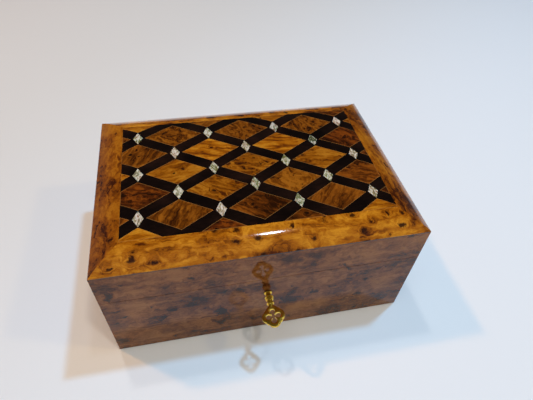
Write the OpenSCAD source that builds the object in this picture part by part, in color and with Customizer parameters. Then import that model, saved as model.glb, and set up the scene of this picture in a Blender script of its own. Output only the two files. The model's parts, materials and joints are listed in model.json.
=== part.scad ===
// Wind-up music box in a burl veneered casket with a crowned marquetry lid.
// Frame: origin at the centre of the underside, +X right, +Y to the back, +Z up.
// The front, with the lock, faces -Y. The musical movement stands in the left compartment.

/* [Casket] */
// Width of the casket, left to right
case_w = 200; // [198:1:210]
// Depth of the casket, front to back
case_d = 138; // [136:1:146]
// Height of the sides, from the table to the edge of the crowned top
side_h = 86; // [86:1:92]
// Height of the lid seam above the table
seam_z = 60; // [60:1:62]
// Thickness of the walls and of the lid rails
wall_t = 8; // [8:0.5:9]

/* [Crowned top] */
// Rise of the crown above the sides
crown_rise = 7.8; // [5:0.2:10]
// Distance from the edge at which the crown is level
crown_reach = 26; // [22:1:30]
// Width of the mitred border strips
border_w = 17; // [14:1:20]
// Pitch of the pearl rhombs along the lid
lattice_x = 48.4; // [46:0.1:50]
// Pitch of the pearl rows across the lid
lattice_y = 18.6; // [18:0.1:20]
// Half length and half width of a burl lozenge
lozenge_half = [19.45, 12]; // [10:0.05:20]
// Half length and half width of a pearl rhomb
pearl_half = [3.3, 6.1]; // [2:0.1:6.4]

/* [Lock and key] */
// Height of the keyhole above the table
key_z = 44.3; // [44:0.1:45]
// Tilt of the bow in the rest pose
key_tilt = 10; // [0:1:20]
// Diameter of the key's shank
key_d = 3; // [2.6:0.1:3]
// Length of the bit from the shank's centre
bit_r = 4.6; // [4:0.1:4.6]

/* [Hinges] */
// Distance of each hinge from the middle
hinge_x = 62; // [50:1:70]
// Length of a hinge
hinge_len = 30; // [24:1:36]

/* [Movement] */
// Place of the winding arbor on the floor plan
move_at = [-62, -18]; // [-64:1:-16]
// Teeth of the spring barrel's crown gear
crown_teeth = 44; // [44:1:44]
// Teeth of the cylinder's pinion
pinion_teeth = 24; // [24:1:24]
// Teeth of the cylinder's driving wheel
wheel_teeth = 40; // [40:1:40]
// Teeth of the governor's pinion
gov_pinion_teeth = 10; // [10:1:10]
// Teeth of the governor's worm wheel
worm_wheel_teeth = 20; // [20:1:20]
// Notes of the comb
notes = 18; // [12:1:18]

/* [Hidden] */
$fn = 48;

half_w = case_w / 2;
half_d = case_d / 2;
in_w = half_w - wall_t;
in_d = half_d - wall_t;
seam_gap = 0.3;
lid_z = seam_z + seam_gap;
fit = 0.05;      // radial clearance of a turning pin
ease = 0.1;      // clearance of a pocket
cut = 0.5;       // how far a cutter runs past a face

// Floors
felt_t = 0.8;
board_z = 4.8;
sound_z = 15;
floor_z = 18;
well_r = 22;
well_t = 2.5;
arbor_hole_r = 3.4;

// Compartments
divider_x = -33;
divider_t = 4;
divider_z = 54;
lining_t = 1.2;
ledge = 3;
cover_z = 52;
cover_t = 2;

// Crown and marquetry
edge_z = side_h - 1;
veneer_t = 1;
panel = [half_w - border_w, half_d - border_w];
function crown_z(t) = side_h + crown_rise * (1 - pow(1 - t / crown_reach, 2.4));
panel_z = crown_z(border_w);
lid_floor_z = edge_z - 5;

// Lock
lock_w = 17;
lock_z0 = 38;
lock_z1 = seam_z - 1.2;
lock_y0 = -half_d + 2.4;
lock_y1 = -in_d;
lock_y = (lock_y0 + 0.6 + lock_y1 - 1) / 2;
selvedge_w = 21;
lug_x = 7;
stump = [8, key_z + 4.9];
screw_r = 0.8;
screw_head_r = 1.5;

// Hinges
leaf_t = 1.4;
knuckle_r = 2.4;
pin_r = 0.9;
leaf_y = half_d - 6.5;
hinge_y = half_d + knuckle_r + ease;
hinge_z = seam_z + seam_gap / 2;
knuckles = 5;
knuckle_gap = 0.2;

// Movement, in its own axes: u along the cylinder, v towards the left wall, z up from the floor
module_mm = 0.5;
bed_t = 3;
barrel_r = 12;
barrel_z0 = 6;
crown_root_z = 16.1;
tooth_h = 1.1;
crown_pitch_r = crown_teeth * module_mm / 2;
cyl_z = crown_root_z + tooth_h - module_mm + pinion_teeth * module_mm / 2;
cyl_r = 5.6;
cyl_u = [13.4, 36.3];
pin_h = 0.8;
note_pitch = 1.25;
note_u0 = 14.2;
shaft_r = 0.8;
gov_v = 10;
gov_drop = 7.5;
gov_z = cyl_z - gov_drop;
gov_shaft_r = 0.6;
worm_u = 43;
worm_r = 1.5;
worm_v = gov_v + worm_wheel_teeth * module_mm / 2 + worm_r;
tooth_pitch = PI * module_mm;
worm_lead = 2 * tooth_pitch;
worm_z0 = gov_z - 3.2;
worm_len = 6.4;
brake_z = 25;
click_at = [4.4, 9.6];
click_raise = 6.2; // the click rests just over the tips of the teeth, and drops by this angle
ratchet_z = 3.4;
ratchet_t = 1.4;
plunger_y = move_at[1] + worm_u;
plunger_x = -half_w + 5.9;
plunger_r = 1.5;

// ---- Shared shapes ----

module block(lo, hi) {
    translate(lo) cube(hi - lo);
}

// A wall or rail with mitred ends: outer face on y = 0, thickness towards +y
module mitred(len, z0, z1, t) {
    translate([0, 0, z0])
        linear_extrude(z1 - z0)
            polygon([[-len / 2, 0], [len / 2, 0], [len / 2 - t, t], [t - len / 2, t]]);
}

module at_front() { translate([0, -half_d, 0]) children(); }
module at_back() { translate([0, half_d, 0]) rotate(180) children(); }
module at_left() { translate([-half_w, 0, 0]) rotate(-90) children(); }
module at_right() { translate([half_w, 0, 0]) rotate(90) children(); }

// A vertical screw with its head's top at z = 0 and its shank downwards
module screw(len, head_r, head_h, shank_r) {
    translate([0, 0, -head_h]) cylinder(h = head_h, r = head_r);
    translate([0, 0, -len]) cylinder(h = len, r = shank_r);
}

// The room that a screw needs
module screw_room(len, head_r, head_h, shank_r) {
    translate([0, 0, -head_h]) cylinder(h = head_h + cut, r = head_r + ease);
    translate([0, 0, -len - ease]) cylinder(h = len + ease, r = shank_r + fit);
}

// Turns a shape drawn in x, y and extruded in z so that it lies across the u axis
module along_u() { rotate([90, 0, 90]) children(); }

// Places the movement's own axes in the casket
module in_movement() {
    translate([move_at[0], move_at[1], floor_z]) rotate(90) children();
}

// Outline of a gear with plain tapered teeth; a tooth is centred on the angle phase
function gear_points(teeth, phase, root_half = 0.4, tip_half = 0.17) =
    let (r = teeth * module_mm / 2, root = r - 0.65, tip = r + 0.45)
    [for (i = [0 : teeth - 1], p = [[root, -root_half], [tip, -tip_half], [tip, tip_half],
        [root, root_half]])
        let (a = phase + i * 360 / teeth + p[1] / p[0] * 180 / PI) p[0] * [cos(a), sin(a)]];

module gear(teeth, phase, t, bore_r) {
    difference() {
        linear_extrude(t) polygon(gear_points(teeth, phase));
        translate([0, 0, -cut]) cylinder(h = t + 2 * cut, r = bore_r);
    }
}

// ---- Casket ----

module base_felt() {
    color("darkgreen")
        difference() {
            block([1.5 - half_w, 1.5 - half_d, 0], [half_w - 1.5, half_d - 1.5, felt_t]);
            translate([move_at[0], move_at[1], -cut]) cylinder(h = felt_t + 2 * cut, r = well_r);
        }
}

module base_board() {
    color("tan")
        difference() {
            block([-in_w, -in_d, felt_t], [in_w, in_d, board_z]);
            translate([move_at[0], move_at[1], 0]) cylinder(h = board_z + cut, r = well_r);
        }
}

module key_well() {
    color("saddlebrown")
        translate([move_at[0], move_at[1], board_z])
            difference() {
                cylinder(h = sound_z - board_z, r = well_r + well_t);
                translate([0, 0, -cut]) cylinder(h = sound_z, r = well_r);
            }
}

module sound_board() {
    color("burlywood")
        difference() {
            block([-in_w, -in_d, sound_z], [in_w, in_d, floor_z]);
            translate([move_at[0], move_at[1], 0]) cylinder(h = side_h, r = arbor_hole_r);
            in_movement() bedplate_screw_places() screw_room(6.4, 2.2, 1.2, 1);
        }
}

module keyhole(y0, y1, r) {
    translate([0, y1, key_z]) rotate([90, 0, 0]) cylinder(h = y1 - y0, r = r);
    block([-0.9, y0, key_z - bit_r - 0.2], [0.9, y1, key_z]);
}

module front_wall() {
    color("sienna")
        difference() {
            at_front() mitred(case_w, felt_t, seam_z, wall_t);
            block([-lock_w - ease, lock_y0 - ease, lock_z0 - ease],
                [lock_w + ease, lock_y1 + cut, seam_z + cut]);
            block([-selvedge_w - ease, lock_y0 - ease, lock_z1 - ease],
                [selvedge_w + ease, lock_y1 + cut, seam_z + cut]);
            keyhole(-half_d - cut, lock_y0, key_d / 2 + 0.3);
            lock_screw_places() screw_room(8, screw_head_r, 0.6, screw_r);
        }
}

module leaf_pockets(z0, z1) {
    for (s = [-1, 1])
        block([s * hinge_x - hinge_len / 2 - ease, leaf_y - ease, z0],
            [s * hinge_x + hinge_len / 2 + ease, half_d + cut, z1]);
}

module back_wall() {
    color("sienna")
        difference() {
            at_back() mitred(case_w, felt_t, seam_z, wall_t);
            leaf_pockets(seam_z - ease - leaf_t, seam_z + cut);
            hinge_screw_places(seam_z - ease) screw_room(8, screw_head_r, 0.7, screw_r);
        }
}

module left_wall() {
    color("sienna")
        difference() {
            at_left() mitred(case_d, felt_t, seam_z, wall_t);
            block([plunger_x - 2.1, plunger_y - 2.5, seam_z - 18],
                [-in_w + cut, plunger_y + 2.5, seam_z + cut]);
        }
}

module right_wall() {
    color("sienna") at_right() mitred(case_d, felt_t, seam_z, wall_t);
}

module divider() {
    color("sienna")
        block([divider_x, -in_d, floor_z], [divider_x + divider_t, in_d, divider_z]);
}

module compartment_lining() {
    x0 = divider_x + divider_t;
    color("maroon")
        difference() {
            block([x0, -in_d, floor_z], [in_w, in_d, divider_z]);
            block([x0 + lining_t, lining_t - in_d, floor_z + lining_t],
                [in_w - lining_t, in_d - lining_t, divider_z + cut]);
        }
}

module cover_ledges() {
    color("sienna") {
        block([-in_w, -in_d, cover_z - ledge], [-in_w + ledge, plunger_y - 3, cover_z]);
        block([-in_w, plunger_y + 3, cover_z - ledge], [-in_w + ledge, in_d, cover_z]);
        block([divider_x - ledge, -in_d, cover_z - ledge], [divider_x, in_d, cover_z]);
    }
}

module movement_cover() {
    color("lightcyan", 0.4)
        difference() {
            block([-in_w + 0.3, -in_d + 0.3, cover_z], [divider_x - 0.3, in_d - 0.3, cover_z + cover_t]);
            block([-half_w, plunger_y - 3.5, 0], [-in_w + 2.4, plunger_y + 3.5, side_h]);
        }
}

// ---- Lid ----

module lid_front_rail() {
    color("sienna")
        difference() {
            at_front() mitred(case_w, lid_z, edge_z, wall_t);
            block([-15 - ease, lock_y0 - ease, lid_z - cut], [15 + ease, lock_y1 + cut, lid_z + 1.3]);
            strike_screw_places() screw_room(8, screw_head_r, 0.6, screw_r);
        }
}

module lid_back_rail() {
    color("sienna")
        difference() {
            at_back() mitred(case_w, lid_z, edge_z, wall_t);
            leaf_pockets(lid_z - cut, lid_z + ease + leaf_t);
            mirror_in_seam() hinge_screw_places(seam_z - ease) screw_room(8, screw_head_r, 0.7, screw_r);
        }
}

module lid_left_rail() {
    color("sienna") at_left() mitred(case_d, lid_z, edge_z, wall_t);
}

module lid_right_rail() {
    color("sienna") at_right() mitred(case_d, lid_z, edge_z, wall_t);
}

module crown_board() {
    color("tan") {
        union() {
            block([-in_w, -in_d, lid_floor_z], [in_w, in_d, edge_z]);
            block([-panel[0], -panel[1], lid_floor_z], [panel[0], panel[1], panel_z - veneer_t]);
        }
    }
}

// A crowned border strip with mitred ends, outer edge on y = 0
module border(len) {
    steps = 10;
    top = [for (i = [0 : steps]) [border_w * i / steps, crown_z(border_w * i / steps)]];
    intersection() {
        translate([-len / 2, 0, 0])
            along_u() linear_extrude(len) polygon(concat([[0, edge_z]], top, [[border_w, edge_z]]));
        mitred(len, 0, side_h + 2 * crown_rise, border_w);
    }
}

module front_border() { color("darkorange") at_front() border(case_w); }
module back_border() { color("darkorange") at_back() border(case_w); }
module left_border() { color("goldenrod") at_left() border(case_d); }
module right_border() { color("peru") at_right() border(case_d); }

module rhomb(half) {
    polygon([[half[0], 0], [0, half[1]], [-half[0], 0], [0, -half[1]]]);
}

// Copies a shape to the lattice points whose index sum is even (0) or odd (1), as far as the
// panel's edge and a margin beyond it
module on_lattice(parity, margin) {
    for (i = [-4 : 4], j = [-3 : 3])
        if (abs(i + j) % 2 == parity)
            if (abs(j) * lattice_y < panel[1] + margin[1] && abs(i) * lattice_x / 2 < panel[0] + margin[0])
                translate([i * lattice_x / 2, j * lattice_y]) children();
}

module panel_rect() { square(2 * panel, center = true); }

module burl_lozenges() {
    color("chocolate")
        translate([0, 0, panel_z - veneer_t])
            linear_extrude(veneer_t)
                intersection() {
                    on_lattice(0, lozenge_half) rhomb(lozenge_half);
                    panel_rect();
                }
}

module pearl_inlays() {
    color("gainsboro")
        translate([0, 0, panel_z - veneer_t])
            linear_extrude(veneer_t) on_lattice(1, [0, 0]) rhomb(pearl_half);
}

module ebony_lattice() {
    color("black")
        translate([0, 0, panel_z - veneer_t])
            linear_extrude(veneer_t)
                difference() {
                    panel_rect();
                    on_lattice(0, lozenge_half) rhomb(lozenge_half);
                    on_lattice(1, [0, 0]) rhomb(pearl_half);
                }
}

module lid_lining() {
    color("maroon") block([0.2 - in_w, 0.2 - in_d, lid_floor_z - 1.8], [in_w - 0.2, in_d - 0.2, lid_floor_z]);
}

module lid_mirror() {
    color("silver") block([14 - in_w, 14 - in_d, lid_floor_z - 3.8], [in_w - 14, in_d - 14, lid_floor_z - 1.8]);
}

// ---- Hinges ----

module mirror_in_seam() {
    translate([0, 0, 2 * hinge_z]) mirror([0, 0, 1]) children();
}

module hinge_screw_places(z) {
    for (s = [-1, 1], d = [-1, 1])
        translate([s * hinge_x + d * hinge_len / 3, (leaf_y + half_d) / 2, z]) children();
}

// Leaf plate under the seam, with the knuckles whose numbers are listed
module leaf(own) {
    step = hinge_len / knuckles;
    z1 = seam_z - ease;
    difference() {
        for (s = [-1, 1])
            translate([s * hinge_x - hinge_len / 2, 0, 0])
                union() {
                    block([0, leaf_y, z1 - leaf_t], [hinge_len, half_d, z1]);
                    for (k = own) {
                        x0 = k * step + knuckle_gap / 2;
                        x1 = (k + 1) * step - knuckle_gap / 2;
                        block([x0, half_d - 1, z1 - leaf_t], [x1, hinge_y, z1]);
                        translate([x0, hinge_y, hinge_z]) rotate([0, 90, 0])
                            cylinder(h = x1 - x0, r = knuckle_r);
                    }
                }
        for (s = [-1, 1])
            translate([s * hinge_x - hinge_len, hinge_y, hinge_z]) rotate([0, 90, 0])
                cylinder(h = 2 * hinge_len, r = pin_r + fit);
        hinge_screw_places(z1) screw_room(8, screw_head_r, 0.7, screw_r);
    }
}

module case_hinge_leaves() { color("gold") leaf([0, 2, 4]); }
module lid_hinge_leaves() { color("gold") mirror_in_seam() leaf([1, 3]); }

module hinge_pins() {
    color("goldenrod")
        for (s = [-1, 1])
            translate([s * hinge_x - hinge_len / 2, hinge_y, hinge_z]) rotate([0, 90, 0])
                cylinder(h = hinge_len, r = pin_r);
}

module case_hinge_screws() {
    color("gold") hinge_screw_places(seam_z - ease) screw(8, screw_head_r, 0.7, screw_r);
}

module lid_hinge_screws() {
    color("gold")
        mirror_in_seam() hinge_screw_places(seam_z - ease) screw(8, screw_head_r, 0.7, screw_r);
}

// ---- Lock ----

module lock_screw_places() {
    for (s = [-1, 1]) translate([s * 19, lock_y, seam_z - ease]) children();
}

module strike_screw_places() {
    for (s = [-1, 1]) translate([s * 12, lock_y, lid_z + ease]) mirror([0, 0, 1]) children();
}

module lock_case() {
    color("gold")
        difference() {
            union() {
                difference() {
                    block([-lock_w, lock_y0, lock_z0], [lock_w, lock_y1, lock_z1 + 0.5]);
                    block([1 - lock_w, lock_y0 + 0.6, lock_z0 + 1], [lock_w - 1, lock_y1 - 1, lock_z1]);
                    keyhole(lock_y0 - cut, lock_y0 + 1, key_d / 2 + fit);
                }
                // selvedge along the top of the wall
                block([-selvedge_w, lock_y0, lock_z1], [selvedge_w, lock_y1, seam_z - ease]);
                // drill pin in the key's pipe, and the stump that guides the bolt
                translate([0, lock_y1 - 0.9, key_z]) rotate([90, 0, 0]) cylinder(h = 3.9, r = 0.6);
                translate([stump[0], lock_y1 - 0.9, stump[1]]) rotate([90, 0, 0])
                    cylinder(h = 4.3, r = screw_r);
            }
            for (s = [-1, 1])
                block([s * lug_x - 1.1, lock_y - 2, lock_z1 - cut], [s * lug_x + 1.1, lock_y + 2, seam_z]);
            lock_screw_places() screw_room(8, screw_head_r, 0.6, screw_r);
        }
}

module lock_screws() { color("gold") lock_screw_places() screw(8, screw_head_r, 0.6, screw_r); }
module strike_screws() { color("gold") strike_screw_places() screw(8, screw_head_r, 0.6, screw_r); }

module lock_strike() {
    color("gold")
        difference() {
            union() {
                block([-15, lock_y0, lid_z + ease], [15, lock_y1 - 0.2, lid_z + 1.3]);
                for (s = [-1, 1])
                    block([s * lug_x - 0.8, lock_y - 1.5, seam_z - 7.4],
                        [s * lug_x + 0.8, lock_y + 1.5, lid_z + 1]);
            }
            block([-15, lock_y - 0.9, seam_z - 6.4], [15, lock_y + 0.9, seam_z - 4]);
            strike_screw_places() screw_room(8, screw_head_r, 0.6, screw_r);
        }
}

// The bolt slides along +X; its two fingers enter the staples of the strike
module lock_bolt() {
    body_z = seam_z - 8;
    finger_z = [seam_z - 6.15, seam_z - 4.25];
    color("peru")
        translate([0, lock_y + 0.7, 0])
            rotate([90, 0, 0])
                linear_extrude(1.4)
                    difference() {
                        union() {
                            translate([-13, key_z + 1.9]) square([24.8, body_z - key_z - 1.9]);
                            for (x = [-13, 1]) {
                                translate([x, body_z - 1]) square([2, finger_z[1] - body_z + 1]);
                                translate([x + 1, finger_z[0]]) square([3.8, finger_z[1] - finger_z[0]]);
                            }
                        }
                        translate([-5.7, key_z]) square([8.1, 5.3]);
                        translate([stump[0] - 3.9, stump[1] - 0.9]) square([6.13, 1.8]);
                    }
}

// The key's turned shank, as [distance out of the casket's front, radius]
shank = [[-6.85, 1.5], [0.1, 1.5], [0.1, 2.7], [0.9, 2.7], [1.3, 1.7], [3.1, 1.7], [3.4, 2.9],
    [4.2, 2.9], [4.5, 1.9], [4.8, 2.6], [5.5, 2.6], [5.9, 1.7], [7.3, 1.6], [7.6, 2.5], [8.5, 2.5],
    [8.9, 1.5], [11, 1.3]];
bow_s = 16.9;

module bow_outline() {
    difference() {
        union() {
            for (a = [0 : 90 : 270]) {
                rotate(a) translate([3.2, 0]) circle(r = 4);
                rotate(a + 45) translate([5.5, 0]) circle(r = 0.9);
            }
            polygon([[-1.6, 7.6], [1.6, 7.6], [3, 5], [-3, 5]]);
        }
        for (a = [0 : 90 : 270]) rotate(a) translate([2.9, 0]) circle(r = 1.75);
        rotate(45) square(2.4, center = true);
    }
}

module lock_key() {
    color("gold")
        translate([0, -half_d, key_z])
            rotate([0, -key_tilt, 0])
                difference() {
                    union() {
                        rotate([90, 0, 0])
                            rotate_extrude()
                                polygon(concat([[0, shank[0][0]]], [for (p = shank) [p[1], p[0]]], [[0, 11]]));
                        translate([0, -bow_s, -1]) linear_extrude(2) bow_outline();
                        block([-bit_r, wall_t - 4.6, -0.7], [-1, wall_t - 1.6, 0.7]);
                    }
                    translate([0, wall_t, 0]) rotate([90, 0, 0]) cylinder(h = 5.6, r = 0.6 + fit);
                }
}

// ---- Musical movement, in its own axes ----

module bedplate_screw_places() {
    for (p = [[-12, -20], [-12, 18], [46, -20]]) translate([p[0], p[1], bed_t + 1.2]) children();
}

module bridge_screw_places() {
    for (v = [-15, 15]) translate([0, v, 20.8]) children();
}

module frame_screw_places() {
    for (p = [[16.5, 0], [36.8, 0], [41, 10], [45.6, 20]]) translate([p[0], p[1], bed_t + 2.2]) children();
}

module comb_screw_places() {
    for (u = [19, 31]) translate([u, -21.2, cyl_z + 1.9]) children();
}

// The click's pivot lies beside the ratchet wheel
module at_click() { translate([click_at[0], click_at[1], 0]) children(); }

module bedplate() {
    c = 3;
    lo = [-16, -24];
    hi = [50, 22];
    color("silver")
        in_movement()
            difference() {
                union() {
                    linear_extrude(bed_t)
                        polygon([[lo[0] + c, lo[1]], [hi[0] - c, lo[1]], [hi[0], lo[1] + c], [hi[0], hi[1] - c],
                            [hi[0] - c, hi[1]], [lo[0] + c, hi[1]], [lo[0], hi[1] - c], [lo[0], lo[1] + c]]);
                    block([13.6, -24, bed_t - 0.5], [36.4, -18.6, cyl_z - 0.5]);
                    at_click() cylinder(h = 5.3, r = screw_r);
                    at_click() cylinder(h = ratchet_z - ease, r = 1.5);
                }
                translate([0, 0, -cut]) cylinder(h = bed_t + 2 * cut, r = 2 + fit);
                bedplate_screw_places() screw_room(6.4, 2.2, 1.2, 1);
                bridge_screw_places() screw_room(20, 1.7, 1, screw_r);
                frame_screw_places() screw_room(4.6, 1.5, 1, screw_r);
                comb_screw_places() screw_room(9.5, 2, 1.4, 1);
            }
}

module bedplate_screws() {
    color("gray") in_movement() bedplate_screw_places() screw(6.4, 2.2, 1.2, 1);
}

module barrel_bridge() {
    color("lightgray")
        in_movement()
            difference() {
                union() {
                    block([-3, -17, 18.2], [3, 17, 19.8]);
                    for (s = [-1, 1]) block([-3, 15 * s - 2, bed_t], [3, 15 * s + 2, 19]);
                }
                cylinder(h = 30, r = 1.2 + fit);
                bridge_screw_places() screw_room(20, 1.7, 1, screw_r);
            }
}

module bridge_screws() { color("gray") in_movement() bridge_screw_places() screw(20, 1.7, 1, screw_r); }
module frame_screws() { color("gray") in_movement() frame_screw_places() screw(4.6, 1.5, 1, screw_r); }

module bearing_brackets() {
    color("lightgray")
        in_movement()
            difference() {
                union() {
                    block([12.3, -4, bed_t], [13, 4, cyl_z + 3]);
                    block([12.3, -4, bed_t], [18.5, 4, bed_t + 1.2]);
                    block([40.2, -4, bed_t], [41, 4, cyl_z + 3]);
                    block([34.8, -4, bed_t], [41, 4, bed_t + 1.2]);
                }
                translate([0, 0, cyl_z]) along_u() cylinder(h = 60, r = shaft_r + fit);
                frame_screw_places() screw_room(4.6, 1.5, 1, screw_r);
            }
}

module comb() {
    u1 = note_u0 + (notes - 1) * note_pitch;
    tip_v = -(cyl_r + pin_h + 0.3);
    color("lightsteelblue")
        in_movement()
            difference() {
                block([note_u0 - 0.5, -24, cyl_z - 0.5], [u1 + 0.5, tip_v, cyl_z + 0.5]);
                for (k = [0 : notes - 2]) {
                    u = note_u0 + (k + 0.5) * note_pitch;
                    slot = 10.5 - 5 * k / notes;
                    block([u - 0.15, tip_v - slot, cyl_z - 1], [u + 0.15, tip_v + 1, cyl_z + 1]);
                }
                comb_screw_places() screw_room(9.5, 2, 1.4, 1);
            }
}

module comb_screws() { color("gray") in_movement() comb_screw_places() screw(9.5, 2, 1.4, 1); }

module governor_frame() {
    top_z = brake_z + 1.2;
    color("khaki")
        in_movement()
            difference() {
                union() {
                    block([36.6, 8, bed_t], [48.8, 21.5, bed_t + 1.2]);
                    block([36.6, 8, bed_t], [37.4, 12, gov_z + 2]);
                    block([44.4, 8, bed_t], [45.2, 12, gov_z + 2]);
                    block([47.8, worm_v - 1.5, bed_t], [48.8, worm_v + 1.5, top_z + 1]);
                    block([worm_u - 1.4, worm_v - 1.1, top_z], [48.8, worm_v + 1.1, top_z + 1]);
                }
                translate([0, gov_v, gov_z]) along_u() cylinder(h = 60, r = gov_shaft_r + fit);
                translate([worm_u, worm_v, bed_t + 0.5]) cylinder(h = 40, r = 0.5 + fit);
                frame_screw_places() screw_room(4.6, 1.5, 1, screw_r);
            }
}

module click_spring() {
    color("lightsteelblue")
        in_movement()
            translate([0, 0, ratchet_z])
                union() {
                    translate([-6.4, 9.6, bed_t - ratchet_z]) cylinder(h = 1.4, r = 1);
                    block([-6.4, 10.2, 0], [2, 10.6, 1]);
                }
}

module winding_arbor() {
    color("lightgray")
        in_movement() {
            translate([0, 0, -13.5]) cylinder(h = 10, r = 1.5);
            translate([0, 0, -4.4]) cylinder(h = 21.4, r = 2);
            translate([0, 0, 16]) cylinder(h = 4, r = 1.2);
        }
}

module ratchet_wheel() {
    teeth = 16;
    tip = 6;
    root = 4.9;
    color("darkgray")
        in_movement()
            translate([0, 0, ratchet_z])
                difference() {
                    linear_extrude(ratchet_t)
                        polygon([for (i = [0 : teeth - 1], r = [tip, root])
                            r * [cos(i * 360 / teeth), sin(i * 360 / teeth)]]);
                    translate([0, 0, -cut]) cylinder(h = 3, r = 2.02);
                }
}

module winding_key() {
    color("gold")
        in_movement()
            difference() {
                union() {
                    translate([0, 0, -14.5]) cylinder(h = 10, r = 3);
                    for (s = [-1, 1])
                        translate([8.6 * s, 0.9, -10.6]) rotate([90, 0, 0])
                            difference() {
                                cylinder(h = 1.8, r = 5.2);
                                translate([0.4 * s, 0, -cut]) cylinder(h = 3, r = 2.3);
                            }
                    block([-4, -0.9, -13], [4, 0.9, -8]);
                }
                translate([0, 0, -13.5]) cylinder(h = 20, r = 1.52);
            }
}

module click() {
    color("darkgray")
        in_movement()
            translate([0, 0, ratchet_z])
                difference() {
                    at_click() rotate(click_raise) translate(-click_at)
                        linear_extrude(ratchet_t)
                            polygon([[5.2, 0.15], [6.8, 0.15], [7.7, 4], [6.3, 10.2], [4.4, 11.6],
                                [2.6, 10.4], [2.7, 8.6], [5.6, 6.2], [6.35, 3], [5.75, 2]]);
                    at_click() translate([0, 0, -cut]) cylinder(h = 3, r = screw_r + fit);
                }
}

module spring_barrel() {
    color("gold")
        in_movement() {
            difference() {
                translate([0, 0, barrel_z0]) cylinder(h = crown_root_z - barrel_z0, r = barrel_r);
                translate([0, 0, barrel_z0 + 1]) cylinder(h = 8, r = barrel_r - 1);
                translate([0, 0, barrel_z0 - cut]) cylinder(h = 12, r = 2 + fit);
                translate([0, 0, 16]) cylinder(h = 1, r = 10);
            }
            for (k = [0 : crown_teeth - 1])
                rotate(k * 360 / crown_teeth)
                    block([10.1, -0.3, crown_root_z - 0.2], [barrel_r - 0.1, 0.3, crown_root_z + tooth_h]);
        }
}

// A wound strip, thickness t, from radius r0 to r1
function coil(turns, r0, r1, t, n) =
    let (f = function (s, o) let (r = r0 + (r1 - r0) * s + o) r * [cos(360 * turns * s), sin(360 * turns * s)])
    concat([for (i = [0 : n]) f(i / n, 0)], [for (i = [n : -1 : 0]) f(i / n, t)]);

module mainspring() {
    turns = 7;
    color("steelblue")
        in_movement()
            translate([0, 0, barrel_z0 + 1.5])
                linear_extrude(7) polygon(coil(turns, 2.4, 10.4, 0.35, 20 * turns));
}

module music_cylinder() {
    color("gold")
        in_movement()
            translate([cyl_u[0], 0, cyl_z])
                along_u()
                    difference() {
                        cylinder(h = cyl_u[1] - cyl_u[0], r = cyl_r);
                        translate([0, 0, -cut]) cylinder(h = 30, r = shaft_r + 0.02);
                    }
}

// Melody pins: one row of pins for each note, spaced by a plain rule
module melody_pins() {
    per_note = 4;
    color("gold")
        in_movement()
            for (k = [0 : notes - 1], i = [0 : per_note - 1])
                translate([note_u0 + k * note_pitch, 0, cyl_z])
                    rotate([k * 50 + i * 360 / per_note + 22 * ((k * i) % 3), 0, 0])
                        translate([0, 0, cyl_r - 0.1]) cylinder(h = pin_h + 0.1, r = 0.22, $fn = 16);
}

module cylinder_gears() {
    color("goldenrod")
        in_movement()
            translate([0, 0, cyl_z])
                along_u() {
                    translate([0, 0, 9.8]) cylinder(h = 31.8, r = shaft_r);
                    translate([0, 0, 10.6])
                        gear(pinion_teeth, -90 + 180 / pinion_teeth, 0.8, shaft_r - 0.1);
                    translate([0, 0, 38.4])
                        gear(wheel_teeth, atan2(-gov_drop, gov_v), 0.8, shaft_r - 0.1);
                }
}

module governor_wheel() {
    mesh = atan2(gov_drop, -gov_v);
    color("goldenrod")
        in_movement()
            translate([0, gov_v, gov_z])
                along_u() {
                    translate([0, 0, 36.6]) cylinder(h = 8.6, r = gov_shaft_r);
                    translate([0, 0, 38]) gear(gov_pinion_teeth, mesh + 180 / gov_pinion_teeth, 1.6, 0.5);
                    translate([0, 0, worm_u - 0.4])
                        linear_extrude(0.8) polygon(gear_points(worm_wheel_teeth, 0, 0.3, 0.15));
                }
}

module air_brake() {
    lobe = worm_r + 0.2;
    color("ivory")
        in_movement()
            translate([worm_u, worm_v, 0]) {
                translate([0, 0, bed_t + 0.6]) cylinder(h = brake_z + 2 - bed_t - 0.6, r = 0.5);
                translate([0, 0, worm_z0]) cylinder(h = worm_len, r = worm_r - 0.6);
                translate([0, 0, worm_z0])
                    rotate(90 - 360 * (gov_z + tooth_pitch / 2 - worm_z0) / worm_lead)
                        linear_extrude(worm_len, twist = -360 * worm_len / worm_lead, slices = 40)
                            square([2 * lobe, 0.7], center = true);
                translate([0, 0, brake_z - 3.6]) block([-4.5, -0.2, 0], [4.5, 0.2, 3.1]);
                translate([0, 0, brake_z - 0.6]) cylinder(h = 0.6, r = 4.5);
            }
}

module plunger_guide() {
    color("gold")
        difference() {
            block([plunger_x - 2, plunger_y - 2.4, seam_z - 8], [-in_w - ease, plunger_y + 2.4, seam_z - 1]);
            translate([plunger_x, plunger_y, 0]) cylinder(h = side_h, r = plunger_r + fit);
        }
}

// Rod under the lid's rail, with an arm over the rim of the air brake's disc
module stop_plunger() {
    pad_z = floor_z + brake_z + 0.3;
    arm_x = move_at[0] - worm_v - 1.8;
    color("gold")
        union() {
            translate([plunger_x, plunger_y, pad_z]) cylinder(h = seam_z + 0.1 - pad_z, r = plunger_r);
            block([plunger_x, plunger_y - 1.2, pad_z], [arm_x, plunger_y + 1.2, pad_z + 2]);
        }
}

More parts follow.
